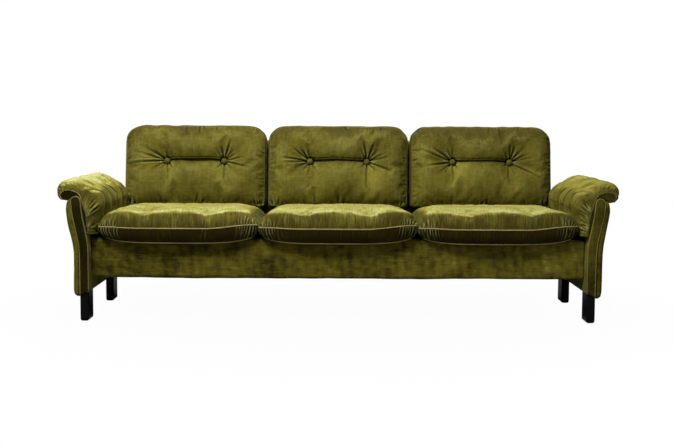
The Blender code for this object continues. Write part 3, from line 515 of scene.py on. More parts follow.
def swollen(points, held, extra):
    """How far cloth over a grid of points moves when a light pressure swells it. The cloth is cut larger
    than its form by the share extra, so that it gathers where it is held."""
    rows, columns = points.shape[:2]
    quads = cells(np.arange(rows * columns).reshape(rows, columns))
    odd = np.indices(quads.shape[:2]).sum(0) % 2 == 1
    quads[odd] = np.roll(quads[odd], 1, -1)
    mesh = bpy.data.meshes.new("cloth")
    mesh.from_pydata(points.reshape(-1, 3).tolist(), [], quads.reshape(-1, 4).tolist())
    obj = bpy.data.objects.new("cloth", mesh)
    scene = bpy.context.scene
    scene.collection.objects.link(obj)
    obj.vertex_groups.new(name="held").add(np.flatnonzero(held).tolist(), 1.0, "REPLACE")
    cloth = obj.modifiers.new("cloth", "CLOTH")
    settings = cloth.settings
    settings.vertex_group_mass = "held"
    settings.quality = 6
    settings.mass = 0.004
    settings.use_pressure = True
    settings.uniform_pressure_force = CLOTH_PRESSURE
    settings.tension_stiffness = settings.compression_stiffness = 40
    settings.shear_stiffness = 14
    settings.bending_stiffness = 2.5
    settings.shrink_min = -extra
    settings.air_damping = 2
    settings.effector_weights.gravity = 0
    cloth.collision_settings.use_collision = False
    cloth.collision_settings.use_self_collision = False
    for frame_number in range(1, CLOTH_FRAMES + 1):
        scene.frame_set(frame_number)
    done = obj.evaluated_get(bpy.context.evaluated_depsgraph_get())
    settled = np.empty(points.size)
    done.data.vertices.foreach_get("co", settled)
    bpy.data.objects.remove(obj)
    bpy.data.meshes.remove(mesh)
    scene.frame_set(1)
    move = blurred(settled.reshape(points.shape) - points, 1)
    length = np.linalg.norm(move, axis=-1, keepdims=True)
    return move * np.minimum(1, CLOTH_CAP / np.maximum(length, 1e-9))


def cloth_moves(form, start, held, extra):
    """How far cloth ends from a form when it starts drawn in and is swollen."""
    return start - form + swollen(start, held, extra)


def blurred(field, times):
    """A grid of values with each spread a little over its neighbours, several times."""
    for _ in range(times):
        for axis in (0, 1):
            first, last = np.take(field, [0], axis), np.take(field, [-1], axis)
            wide = np.concatenate([first, field, last], axis)
            count = field.shape[axis]
            before, after = np.take(wide, range(count), axis), np.take(wide, range(2, count + 2), axis)
            field = (before + 2 * field + after) / 4
    return field


def relief(form, moved):
    """Where moved cloth stands above its surroundings or lies below them, about -1 to 1."""
    face = np.cross(np.gradient(form, axis=0), np.gradient(form, axis=1))
    face /= np.maximum(np.linalg.norm(face, axis=-1, keepdims=True), 1e-12)
    height = np.sum(face * moved, -1)
    return np.clip((height - blurred(height, RELIEF_BLUR)) / RELIEF_HEIGHT, -1, 1)[..., None]


def on_grid(field, s, t):
    """Smooth values between the lines of an even grid from -1 to 1."""
    sides = []
    for place, count in ((s, field.shape[0]), (t, field.shape[1])):
        spot = np.clip((place + 1) / 2 * (count - 1), 0, count - 1 - 1e-6)
        k = spot.astype(int)
        w = spot - k
        weights = (
            (2 * w**2 - w - w**3) / 2,
            (3 * w**3 - 5 * w**2 + 2) / 2,
            (4 * w**2 + w - 3 * w**3) / 2,
            (w**3 - w**2) / 2,
        )
        sides.append([(np.clip(k + n - 1, 0, count - 1), weight) for n, weight in enumerate(weights)])
    total = 0
    for i, first in sides[0]:
        for j, second in sides[1]:
            total = total + field[i, j] * (first * second)[:, None]
    return total


def grid(columns, rows):
    """(s, t) over an even grid from -1 to 1, and where its border is."""
    s, t = np.meshgrid(np.linspace(-1, 1, columns), np.linspace(-1, 1, rows), indexing="ij")
    return s, t, (np.abs(s) > 0.9999) | (np.abs(t) > 0.9999)


def on_face(form, s, t, *more):
    """A form's swollen face over a grid."""
    return form(s.ravel(), t.ravel(), np.ones(s.size), *more).reshape(*s.shape, 3)


# Seat cushions

# Gathers along the seams. Pairs are ranges, in metres, from which each fold is drawn
EDGE_STRENGTH, CORNER_STRENGTH = 0.55, (1.4, 2.6)
CORNER_PLEATS, CORNER_FIRST, CORNER_STEP = 7, 0.011, 0.0110
GATHER_LENGTH, GATHER_LEAN = (0.035, 0.065), (-0.008, 0.008)
GATHER_WIDTH, GATHER_DEPTH = (0.0027, 0.0033), (0.0020, 0.0030)
EDGE_ARC = 0.263  # way over the top's round edge, for the root of the share from the seam
PULL_LENGTH, PULL_DEPTH, PULL_WIDTH = (0.05, 0.12), (0.0008, 0.0020), 0.006
LOWER_SEAM = -0.78  # where the lower cord runs on the band
SEAT_HELD = 0.68  # past this t the back cushions lie on the cloth


def back_foot(y):
    """Height of the back cushions' foot plane over the seat frame, at a depth there."""
    lift_y = BACK_ORIGIN[0] + BACK_LIFT * math.sin(BACK_RAKE) - SEAT_ORIGIN[0]
    lift_z = BACK_ORIGIN[1] + BACK_LIFT * math.cos(BACK_RAKE) - SEAT_ORIGIN[1]
    c, s = math.cos(SEAT_RAKE), math.sin(SEAT_RAKE)
    return lift_y * s + lift_z * c - math.tan(BACK_RAKE - SEAT_RAKE) * (y - lift_y * c + lift_z * s)


def seat_crown(s, t):
    """Height of a seat's top over its seam, from 0 at the edges to 1."""
    return np.sqrt(np.maximum(0, (1 - s**8) * (1 - t**12)))


def from_dimple(s, t):
    """Distance over a seat's top from the nearer dimple."""
    return np.hypot((np.abs(s) - TUFT_SHARE) * CUSHION_HALF, (t + 1) * SEAT_HALF - SEAT_DIMPLE_BACK)


def seat_form(s, t, r):
    """The seat cushion's form in the seat frame, about its own middle line."""
    level = (r + 1) / 2
    front = np.maximum(0, -t)
    undercut = SEAT_UNDERCUT * (1 - level) ** 2.6
    x = (CUSHION_HALF * (1 - 0.012 * np.abs(t) ** 16) - undercut) * s
    y = SEAT_MIDDLE + (SEAT_HALF * (1 - 0.030 * np.abs(s) ** 16) - undercut) * t
    y = y + SEAT_BOW * s * s * front**2
    z = SEAT_SEAM * level - SEAT_SAG * s**6 * front**6 * level
    rise = SEAM_RISE_LEFT * smooth(-0.5, -1.0, s) + SEAM_RISE_RIGHT * smooth(0.35, 1.0, s)
    z = z + rise * smooth(-0.6, -1.0, t) * level
    top = (SEAT_THICK - SEAT_SEAM) * seat_crown(s, t)
    top = top - SEAT_DIMPLE * (1 - smooth(0, TUFT_REACH, from_dimple(s, t)))
    z = z + np.where(r > FACE, top, 0)
    hang = APRON_FRONT - SEAT_ORIGIN[0] + CLEAR - y
    z = z - SEAT_DROOP * (1 - 0.7 * s**4) * (1 - level) * smooth(0, SEAT_OVERHANG / 2, hang)
    z = np.minimum(z, back_foot(y) - CLEAR - DECK_TOP - CLEAR)
    return np.stack([x, y, z + DECK_TOP + CLEAR], -1)


def seat_gathers(s, t, r, random):
    """Folds that the two piped seams draw into the top and into the band between them."""
    total = np.zeros_like(s)
    for run, across, sign, reach, count in (
        (s, t, -1, CUSHION_HALF, 24),
        (s, t, 1, CUSHION_HALF, 10),
        (t, s, -1, SEAT_HALF, 17),
        (t, s, 1, SEAT_HALF, 17),
    ):
        on_band = (r < FACE) & (across * sign > 0.9999)
        up = np.where(r > FACE, EDGE_ARC * np.sqrt(np.maximum(0, 1 - across * sign)), 1.0)
        up = np.where(on_band, -SEAT_SEAM * (1 - (r + 1) / 2), up)
        pleats = [(random.uniform(-0.8, 0.8), EDGE_STRENGTH) for _ in range(count)]
        for corner in (-1, 1):
            for k in range(CORNER_PLEATS):
                off = CORNER_FIRST + CORNER_STEP * (k + random.uniform(-0.2, 0.2))
                strong = random.uniform(*CORNER_STRENGTH) * (1 - 0.07 * k)
                pleats.append((corner * (1 - off / reach), strong))
        for place, strong in pleats:
            length = random.uniform(*GATHER_LENGTH)
            lean = random.uniform(*GATHER_LEAN)
            width, depth = random.uniform(*GATHER_WIDTH), strong * random.uniform(*GATHER_DEPTH)
            lip = 0.4 if strong < 1 else 0.6
            start = (place * reach, 0.002)
            total += crease(run * reach, up, start, (start[0] + lean, length), width, depth, lip)
            start = (place * reach + 0.003, -0.002)
            total += crease(run * reach, up, start, (start[0] - lean, -SEAT_SEAM), width, 0.8 * depth, lip)
        lower = np.where(on_band, np.abs(up + SEAT_SEAM), 1)
        total *= smooth(0.0, 0.005, np.minimum(np.abs(up), lower))
    return total


def seat_pulls(s, t, random):
    """Folds that run out from the two dimples."""
    total = np.zeros_like(s)
    for side in SIDES.values():
        centre = np.array((side * TUFT_X, SEAT_DIMPLE_BACK - SEAT_HALF))
        for angle in np.arange(10) * 36 + random.uniform(-14, 14, 10):
            ray = np.array((math.cos(math.radians(angle)), math.sin(math.radians(angle))))
            end = centre + ray * random.uniform(*PULL_LENGTH)
            depth = random.uniform(*PULL_DEPTH)
            total += crease(s * CUSHION_HALF, t * SEAT_HALF, centre + ray * 0.006, end, PULL_WIDTH, depth)
    return total


def seat_cloth(seed):
    """The top of a seat cushion as swollen cloth: how far it moves and its relief."""
    s, t, border = grid(109, 117)
    form = on_face(seat_form, s, t)
    apart = from_dimple(s, t)
    away = smooth(0.010, 0.06, apart) * smooth(0.7, 0.5, t)
    start = form.copy()
    start[..., 2] -= 0.07 * (SEAT_THICK - SEAT_SEAM) * away * seat_crown(s, t)
    start[..., 2] += np.random.default_rng(seed).normal(0, 0.0003, s.shape) * ~border
    moved = cloth_moves(form, start, border | (apart < 0.010) | (t > SEAT_HELD), 0.030)
    inside = smooth(0, 0.10, 1 - np.abs(s)) * smooth(0, 0.10, 1 - np.abs(t))
    moved -= 0.85 * blurred(moved, 60) * inside[..., None]
    return moved, relief(form, moved)


# The left cushion's cloth, turned over, also serves the right one
SIDE_CLOTH, MIDDLE_CLOTH = seat_cloth(11), seat_cloth(12)


def seat_cushion(index):
    name = SEATS[index]
    body = "seat_cushion_" + name
    random = np.random.default_rng(410 + index)
    places = lines(170, 0.4, [(-0.9, 0.12, 1.2), (0.9, 0.12, 1.2)])
    (s, t, r), quads = shell(places, places, np.linspace(-1, 1, 15))
    form = seat_form(s, t, r)
    top = r > FACE
    way = -1 if name == "right" else 1
    moved, raised = MIDDLE_CLOTH if name == "middle" else SIDE_CLOTH
    field = seat_gathers(s, t, r, random)
    field += np.where(top, seat_pulls(s, t, random), 0)
    # Creases and low cloth get painted shade; their lips and raised cloth turn paler, part rubbed wear, part
    # painted highlight
    fold = np.clip(field / 0.003 + 0.3 * on_grid(raised, way * s, t)[:, 0] * top, -1, 1)
    slow = 0.0020 * wander(form + index, 0.16, 31 + index)
    field += np.where(top, slow * smooth(0, 0.06, to_edge(s, t)), 0)
    base = form + on_grid(moved, way * s, t) * (way, 1, 1) * top[:, None]
    points = pushed(base, quads, field)
    points[:, 2] = np.minimum(points[:, 2], back_foot(points[:, 1]) - CLEAR)
    # Painted light: the top is painted lighter and the front roll darker, with a painted highlight along the
    # front crest; the waves are the pile's own tone
    rolled = 0.55 * outward(form, quads)[:, 2] + 0.45 * outward(points, quads)[:, 2]
    nap_and_painted_light = 0.3 * wander(base * (1, 1, 2) + index, 0.09, 90 + index) + smooth(0.76, 0.985, rolled) * 2.7 - 1.1
    painted_crest_highlight = bell(rolled - 0.93, 0.05) * smooth(0.2, -0.4, t) * top
    nap_and_painted_light += painted_crest_highlight * (0.9 + 0.6 * wander(base + index, 0.05, 95 + index))
    # The band between the pipings takes the darker band velvet: painted shade
    band = (SHADED_BAND_VELVET, on_sides(r, quads))
    placed = seat_place(points, index)
    soft = "seat_cushion_soft_" + name
    made = piece(soft, placed, quads, SEAT_VELVET, [body], body, fold=fold, nap_and_painted_light=nap_and_painted_light, second=band)
    s, t = round_the_edge(70)
    for label, level, material in (("upper", FACE, PIPING), ("lower", LOWER_SEAM, LOWER_PIPING)):
        loop = seat_form(s, t, np.full_like(s, level))
        tube(f"seat_piping_{label}_{name}", seat_place(loop, index), SEAT_CORD, material, body)


# Back cushions

# Folds at the left and right button: angle in degrees, length, depth
BUTTON_FOLDS = {
    "left": (
        (168, 0.15, 0.0045), (150, 0.10, 0.0050), (136, 0.085, 0.0065), (118, 0.06, 0.0040),
        (98, 0.055, 0.0045), (70, 0.045, 0.0030), (190, 0.16, 0.0040), (212, 0.07, 0.0035),
        (240, 0.06, 0.0030), (270, 0.09, 0.0022), (305, 0.05, 0.0025),
    ),
    "right": (
        (29, 0.07, 0.0055), (52, 0.08, 0.0045), (73, 0.085, 0.0065), (95, 0.085, 0.0060),
        (116, 0.06, 0.0035), (8, 0.10, 0.0035), (-22, 0.15, 0.0035), (-48, 0.06, 0.0030),
        (-75, 0.06, 0.0025), (-95, 0.10, 0.0022), (220, 0.05, 0.0025),
    ),
}
RAY_WIDTH, RAY_START = 0.0038, 0.009
PLEAT_WIDTH, PLEAT_DEPTH, PLEAT_SECOND, PLEAT_APART = 0.0030, 0.0045, 0.0024, 0.011
RING_WIDTH, RING_DEPTH = 0.0035, 0.0040
NAP_STEP = 0.127  # how far from the middle the pile changes its lie
# Gathers along the upper and lower seam and the sides. Pairs are ranges from which each fold is drawn
GATHER_GROUPS, GROUP_SPREAD, GROUP_GAIN = (-0.9, 0.05, 0.9), (-0.07, 0.07), 1.5
SEAM_GATHER_LENGTH, SEAM_GATHER_LEAN = (0.02, 0.06), (-0.015, 0.015)
SEAM_GATHER_WIDTH, SEAM_GATHER_DEPTH = (0.003, 0.0045), (0.0014, 0.0038)
SIDE_GATHERS, SIDE_GATHER_LENGTH, SIDE_GATHER_LEAN = 9, (0.02, 0.05), (-0.012, 0.012)
SIDE_GATHER_WIDTH, SIDE_GATHER_DEPTH = 0.004, (0.001, 0.0025)


def back_depth(s, t):
    """How far the front of a back cushion stands out of its gusset: a crown drawn in at two buttons."""
    crown = BACK_CROWN * np.sqrt(np.maximum(0, (1 - np.abs(s) ** 3.5) * (1 - np.abs(t) ** 3.5)))
    off_s, off_t = np.abs(np.abs(s) - TUFT_SHARE) * CUSHION_HALF, np.abs(t - TUFT_T) * BACK_MIDDLE
    apart = np.maximum(0, np.hypot(off_s, off_t) - 0.010)
    tuft = TUFT_DEPTH * (1 - np.minimum(1, apart / TUFT_REACH)) ** 2.4
    return crown - tuft


def back_form(s, t, r):
    """The back cushion's form in the back frame, about its own middle line and up from its foot."""
    high, low = np.maximum(0, t), np.maximum(0, -t)
    corner = 0.075 * high**9 + 0.02 * low**14
    x = (CUSHION_HALF * (1 - corner) - BACK_WAIST * (1 - t * t) * np.abs(s) ** 4) * s
    corner = 0.125 * high * np.abs(s) ** 14 + 0.03 * low * np.abs(s) ** 20
    z = BACK_MIDDLE * (1 + t) - BACK_MIDDLE * corner * np.sign(t)
    edge = BACK_ROUND * r * r
    x = x - edge * np.sign(s) * np.abs(s) ** 6
    z = z - edge * high**6
    y = -LINING - CLEAR - BACK_GUSSET * (r + 1) / 2 - np.where(r > FACE, back_depth(s, t), 0)
    return np.stack([x, y, z], -1)


def pleat_reach(u):
    """1 between the two buttons, falling to 0 at them."""
    return smooth(TUFT_X + 0.004, TUFT_X - 0.012, np.abs(u))


def button_folds(u, v, random):
    """Rays at the buttons, the double pleat between them and the ring that each button presses in."""
    total = np.zeros_like(u)
    for label, side in SIDES.items():
        centre = np.array((side * TUFT_X, TUFT_HEIGHT))
        for angle, length, depth in BUTTON_FOLDS[label]:
            angle = math.radians(angle + random.uniform(-9, 9))
            ray = np.array((math.cos(angle), math.sin(angle)))
            end = centre + ray * length * random.uniform(0.8, 1.2)
            depth = depth * random.uniform(1.1, 1.7)
            total += crease(u, v, centre + ray * RAY_START, end, RAY_WIDTH, depth)
    off = v - TUFT_HEIGHT - 0.003 - 0.0012 * np.sin(u * 38 + random.uniform(0, 6))
    pleat = PLEAT_DEPTH * bell(off, PLEAT_WIDTH) + PLEAT_SECOND * bell(off - PLEAT_APART, PLEAT_WIDTH)
    total -= pleat_reach(u) * pleat
    for side in SIDES.values():
        ring = np.hypot(u - side * TUFT_X, v - TUFT_HEIGHT) - BUTTON_RADIUS - 0.003
        total -= RING_DEPTH * bell(ring, RING_WIDTH)
    return total


def edge_folds(u, v, random):
    """Gathers at a back cushion's upper and lower seam, many of them in groups, and at its sides."""
    total = np.zeros_like(u)
    for edge, count, inward in ((BACK_HEIGHT, 17, -1), (0.0, 30, 1)):
        for _ in range(count):
            group = random.choice(GATHER_GROUPS) if random.random() < 0.6 else None
            if group is None:
                share, gain = random.uniform(-0.96, 0.96), 1.0
            else:
                share, gain = group + random.uniform(*GROUP_SPREAD), GROUP_GAIN
            place = share * CUSHION_HALF
            length = random.uniform(*SEAM_GATHER_LENGTH)
            start = (place, edge + inward * 0.006)
            end = (place + random.uniform(*SEAM_GATHER_LEAN), edge + inward * length)
            depth = random.uniform(*SEAM_GATHER_DEPTH) * gain
            total += crease(u, v, start, end, random.uniform(*SEAM_GATHER_WIDTH), depth)
    for side in SIDES.values():
        for _ in range(SIDE_GATHERS):
            height = random.uniform(0.03, 0.95) * BACK_HEIGHT
            start = (side * (CUSHION_HALF - 0.012), height)
            reach = side * random.uniform(*SIDE_GATHER_LENGTH)
            end = (start[0] - reach, height + random.uniform(*SIDE_GATHER_LEAN))
            total += crease(u, v, start, end, SIDE_GATHER_WIDTH, random.uniform(*SIDE_GATHER_DEPTH))
    return total


def back_cloth(seed):
    """The front of a back cushion as swollen cloth, drawn in at its buttons and along the pleat between."""
    s, t, border = grid(109, 65)
    random = np.random.default_rng(seed)
    form = on_face(back_form, s, t)
    u, v = form[..., 0], form[..., 2]
    off = v - TUFT_HEIGHT - 0.002
    apart = np.hypot(np.abs(u) - TUFT_X, v - TUFT_HEIGHT)
    line = pleat_reach(u) * bell(off, 0.006)
    start = form.copy()
    start[..., 1] += 0.1 * back_depth(s, t) * smooth(0.013, 0.06, apart) + 0.009 * line
    start[..., 1] += random.normal(0, 0.0004, s.shape) * ~border
    pleat = (np.abs(u) < TUFT_X) & (np.abs(off) < 0.0045)
    moved = cloth_moves(form, start, border | pleat | (apart < 0.0135), 0.030 + 0.01 * random.random())
    return moved, relief(form, moved)


def back_cushion(index):
    name = SEATS[index]
    body = "back_cushion_" + name
    random = np.random.default_rng(520 + index)
    across = lines(168, 0.3, [(-TUFT_SHARE, 0.14, 1.4), (TUFT_SHARE, 0.14, 1.4)])
    (s, t, r), quads = shell(across, lines(116, 0.3, [(TUFT_T, 0.16, 1.6)]), np.linspace(-1, 1, 15))
    form = back_form(s, t, r)
    front = np.where(r > FACE, 1.0, 0.0)
    gusset = (1 - front) * np.where(r > -FACE, 1, 0)
    moved, raised = back_cloth(21 + index)
    field = button_folds(form[:, 0], form[:, 2], random)
    field += edge_folds(form[:, 0], form[:, 2], random)
    field *= front
    # Creases and low cloth get painted shade; their lips and raised cloth turn paler, part rubbed wear, part
    # painted highlight
    fold = np.clip(field / 0.0035 + 0.25 * on_grid(raised, s, t)[:, 0] * front, -1, 1)
    base = form + on_grid(moved, s, t) * front[:, None]
    slow = 0.0020 * wander(base + 2 * index, 0.13, 131 + index)
    field += slow * smooth(0, 0.08, to_edge(s, t)) * front
    field += 0.0009 * wander(base + index, 0.03, 171 + index) * gusset
    points = pushed(base, quads, field)
    points[:, 1] = np.minimum(points[:, 1], -LINING - CLEAR)
    x, z = base[:, 0], base[:, 2]
    steps = [smooth(-0.03, 0.002, x - p) - smooth(0.002, 0.10, x - p) for p in (-NAP_STEP, NAP_STEP)]
    below = smooth(TUFT_HEIGHT + 0.02, TUFT_HEIGHT - 0.05, z)
    nap_and_painted_light = 0.25 * wander(base * (1, 1, 0.7) + 3 * index, 0.12, 190 + index) + 0.45 * below * sum(steps)
    # Painted shade: darker towards the top, more on each cushion further right
    nap_and_painted_light -= (1.0 + 0.3 * index) * smooth(0.35, 0.95, t)
    # The sides take the darker gusset velvet: painted shade
    sides = (SHADED_GUSSET_VELVET, on_sides(r, quads))
    placed = back_place(points, s, index)
    soft = "back_cushion_soft_" + name
    made = piece(soft, placed, quads, CUSHION_VELVET, [body], body, fold=fold, nap_and_painted_light=nap_and_painted_light, second=sides)
    s, t = round_the_edge(60)
    for label, level in (("front", FACE), ("rear", -FACE)):
        path = back_place(back_form(s, t, np.full_like(s, level)), s, index)
        tube(f"back_welt_{label}_{name}", path, BACK_CORD, DARK_PIPING, body)
    for label, side in SIDES.items():
        button(f"button_{name}_{label}", side, index, body)


def button(name, side, index, body):
    """A covered button: a dome whose cloth is gathered under its rim."""
    rings, turns = 12, 40
    quarter = np.linspace(0, 1, rings) * math.pi / 2
    dome = np.sin(np.linspace(0.02, 1, rings) * math.pi / 2)
    radius = BUTTON_RADIUS * np.concatenate([dome, [0.98, 0.86, 0.02]])
    rise = np.concatenate([BUTTON_RISE * np.cos(quarter) ** 0.9, [-0.001, -0.002, -0.002]])
    angle = np.arange(turns) * 2 * math.pi / turns
    pucker = np.linspace(0, 1, len(radius))[:, None] ** 3 * 0.03 * np.sin(10 * angle)[None]
    wide = radius[:, None] * (1 + pucker)
    sunk = float(back_depth(np.array(TUFT_SHARE), np.array(TUFT_T)))
    x = side * TUFT_X + wide * np.cos(angle)
    y = -(BACK_GUSSET + LINING + CLEAR + sunk) - rise[:, None] - BUTTON_SINK + 0 * x
    z = TUFT_HEIGHT + wide * np.sin(angle)
    points = np.stack([x, y, z], -1).reshape(-1, 3)
    quads = round_rings(len(radius) - 1, len(radius), turns)
    for ring in (0, len(radius) - 1):
        for m in range(1, turns - 2, 2):
            quads.append((ring * turns, ring * turns + m, ring * turns + m + 1, ring * turns + m + 2))
    placed = back_place(points, np.zeros(len(points)), index)
    piece(name + "_covered", placed, np.array(quads), BUTTON_VELVET, [name], body)


# Arms

# Gathers at the pads' ends and folds across their channels. Pairs are ranges from which each is drawn
END_GATHER_REACH, END_GATHER_LEAN = (0.014, 0.030), (-0.008, 0.008)
END_GATHER_WIDTH, END_GATHER_DEPTH = (0.0026, 0.0036), (0.0025, 0.0055)
ON_LIP, BEFORE_LIP, LIP_SHARE, LIP_GAIN = (0.48, 0.97), (0.06, 0.46), 0.25, 0.8
TUCK_STEP, TUCK_REACH, TUCK_LEAN = 0.0125, (0.012, 0.028), (-0.004, 0.004)
TUCK_WIDTH, TUCK_DEPTH = 0.0030, (0.0004, 0.0012)
GROOVE_DEPTH, GROOVE_WIDTH = 0.0085, 0.0095
RIDGE_HEIGHT, RIDGE_WIDTH, RIDGE_AWAY = 0.0026, 0.009, 0.021
SEAMS = [-1 + 2 * k / PAD_ROLLS for k in range(1, PAD_ROLLS)]


def flare(z):
    """How far an arm leans out at a height, in straight steps as the board is sawn."""
    stations = np.linspace(0, 1, 7)
    lean = smooth(0, 1, stations)
    return ARM_FLARE * np.interp((z - FLARE_START) / (ARCH_Z - FLARE_START), stations, lean)


def guide(points, steps=12):
    """A smooth line through a few points, as many close points."""
    p = np.array([points[0], *points, points[-1]])
    u = (np.arange(steps) / steps)[:, None]
    line = []
    for a, b, c, d in zip(p, p[1:], p[2:], p[3:]):
        bend = (2 * a - 5 * b + 4 * c - d) * u**2 + (3 * b - a - 3 * c + d) * u**3
        line.append(0.5 * (2 * b + (c - a) * u + bend))
    return np.concatenate([*line, p[-1:]])


def along(line, share):
    """Points at shares of a line's length."""
    line = np.asarray(line)
    length = np.concatenate([[0], np.cumsum(np.linalg.norm(np.diff(line, axis=0), axis=1))])
    return np.stack([np.interp(share * length[-1], length, line[:, k]) for k in range(line.shape[1])], -1)


def rounded(distance, radius):
    """Height of a round edge at a distance from it, from 0 at the edge to 1 past the radius."""
    return np.sqrt(1 - (1 - np.clip(distance / radius, 0, 1)) ** 2)


def pad_guides():
    """The pad's underside over the panel and its upper side, both from the foot to the lip."""
    middle = ARM_FACE + PANEL / 2 + ARM_FLARE
    stations = FLARE_START + (ARCH_Z - FLARE_START) * np.arange(6) / 6
    heights = [PAD_FOOT, *stations[stations > PAD_FOOT + 0.002]]
    under = [(ARM_FACE - CLEAR + float(flare(z)), z) for z in heights]
    around = (PANEL / 2 + CLEAR) / math.cos(math.radians(15))
    angles = np.radians([180, 150, 120, 90, 60])
    under += [(middle + around * math.cos(a), ARCH_Z + around * math.sin(a)) for a in angles]
    face, top = ARM_FACE + PANEL + CLEAR + ARM_FLARE, ARM_TOP - OUTER_DROP
    under.append((face, top + 3 * CLEAR))
    for drop in (0, 0.003, 0.007, 0.011):
        thick = OUTER_PAD * float(rounded(drop + OUTER_SLACK * OUTER_PAD, OUTER_TAPER))
        under.append((face + thick + 2 * CLEAR, top - drop + 2 * CLEAR))
    shoulder = SEAT_FACE - PAD_BULGE
    upper = [(SEAT_FACE, PAD_FOOT), (SEAT_FACE - PAD_BULGE * 0.4, PAD_FOOT + (ARM_TOP - PAD_FOOT) * 0.55)]
    for x, rise in (
        (shoulder, -0.36),
        (shoulder + PAD_TOP * 0.14, 0.10),
        (shoulder + PAD_TOP * 0.47, 0.40),
        (middle - PAD_TOP * 0.38, 0.72),
        (middle + PAD_TOP * 0.20, 1.0),
        (middle + PAD_TOP * 0.60, 0.98),
        (PAD_LIP_X - PAD_TOP * 0.24, 0.80),
        (PAD_LIP_X, 0.44),
        (PAD_LIP_X - PAD_TOP * 0.10, 0.06),
        (PAD_LIP_X - PAD_TOP * 0.34, -0.18),
    ):
        upper.append((x, ARM_TOP + PAD_TOP * rise))
    return under, guide(upper)


def pad_form(s, t, r, side):
    """An arm pad's form: s from its front to its rear end, t from its foot over the arm to its lip."""
    under, upper = pad_guides()
    share = (t + 1) / 2
    inside, outside = along(under, share), along(upper, share)
    seam = 1 - np.sqrt(np.abs(np.sin(math.pi * PAD_ROLLS * (s + 1) / 2)))
    seam = np.where(np.abs(s) > 1 - 1 / PAD_ROLLS / 2, 0, seam)
    ends = rounded(PAD_HALF * (s + 1), PAD_FRONT_ROUND) * rounded(PAD_HALF * (1 - s), PAD_REAR_ROUND)
    reach = np.linalg.norm(outside - inside, axis=1)
    least = PAD_END + LIP_END * smooth(0.45, 0.65, share) + LIP_TIP * smooth(0.68, 0.95, share)
    thick = reach * (least + (1 - least) * ends) - PAD_CHANNEL * seam * smooth(0.05, 0.4, share)
    point = inside + (outside - inside) / reach[:, None] * (thick * (r + 1) / 2)[:, None]
    return np.stack([side * point[:, 0], PAD_MIDDLE + PAD_HALF * s, point[:, 1]], -1)


def pad_cloth():
    """The left arm pad's upper side as swollen cloth, sewn down along its channels."""
    s, t, border = grid(20 * PAD_ROLLS + 1, 61)
    form = on_face(pad_form, s, t, -1)
    inside = pad_form(s.ravel(), t.ravel(), -np.ones(s.size), -1).reshape(*s.shape, 3)
    seam = np.abs(np.sin(math.pi * PAD_ROLLS * (s + 1) / 2))
    sewn = (seam < 0.001) & (t > -0.84)
    start = form + 0.12 * (inside - form) * (smooth(0, 0.5, seam) * ~border)[..., None]
    start += np.random.default_rng(41).normal(0, 0.0003, form.shape) * ~border[..., None]
    return cloth_moves(form, start, border | sewn, 0.045)


# The left pad's cloth, turned over, also serves the right one
PAD_CLOTH = pad_cloth()


def pad_gathers(u, v, random):
    """Folds at a pad's front and rear end, fewer of them on its lip."""
    total = np.zeros_like(u)
    for end, count, strong in ((-1, 40, 1.0), (1, 22, 0.6)):
        for _ in range(count):
            on_lip = random.random() < LIP_SHARE
            place = random.uniform(*(ON_LIP if on_lip else BEFORE_LIP)) * PAD_GIRTH
            start = (end * (PAD_HALF - 0.004), place)
            reach = random.uniform(*END_GATHER_REACH)
            stop = (end * (PAD_HALF - reach), place + random.uniform(*END_GATHER_LEAN))
            depth = strong * random.uniform(*END_GATHER_DEPTH) * (LIP_GAIN if on_lip else 1.0)
            total += crease(u, v, start, stop, random.uniform(*END_GATHER_WIDTH), depth)
    return total


def pad_channels(u, v, random):
    """Sewn grooves between a pad's rolls, with small tucks across them and a ridge in front of each.
    Also gives the part of the grooves that isn't darkened."""
    total, unshaded = np.zeros_like(u), np.zeros_like(u)
    over = smooth(0.10, 0.17, v)
    for seam in SEAMS:
        middle = seam * PAD_HALF
        for place in np.arange(0.09, 0.33, TUCK_STEP):
            for way in (-1, 1):
                begin = place + random.uniform(*TUCK_LEAN)
                stop = (middle + way * random.uniform(*TUCK_REACH), begin + random.uniform(*TUCK_LEAN))
                total += crease(u, v, (middle, begin), stop, TUCK_WIDTH, random.uniform(*TUCK_DEPTH))
        deep = GROOVE_DEPTH * smooth(0.03, 0.10, v) * (0.55 + 0.45 * over)
        groove = -deep * bell(u - middle, GROOVE_WIDTH)
        total += groove + RIDGE_HEIGHT * over * bell(u - middle + RIDGE_AWAY, RIDGE_WIDTH)
        unshaded += 0.15 * (1 - over) * groove
    return total, unshaded


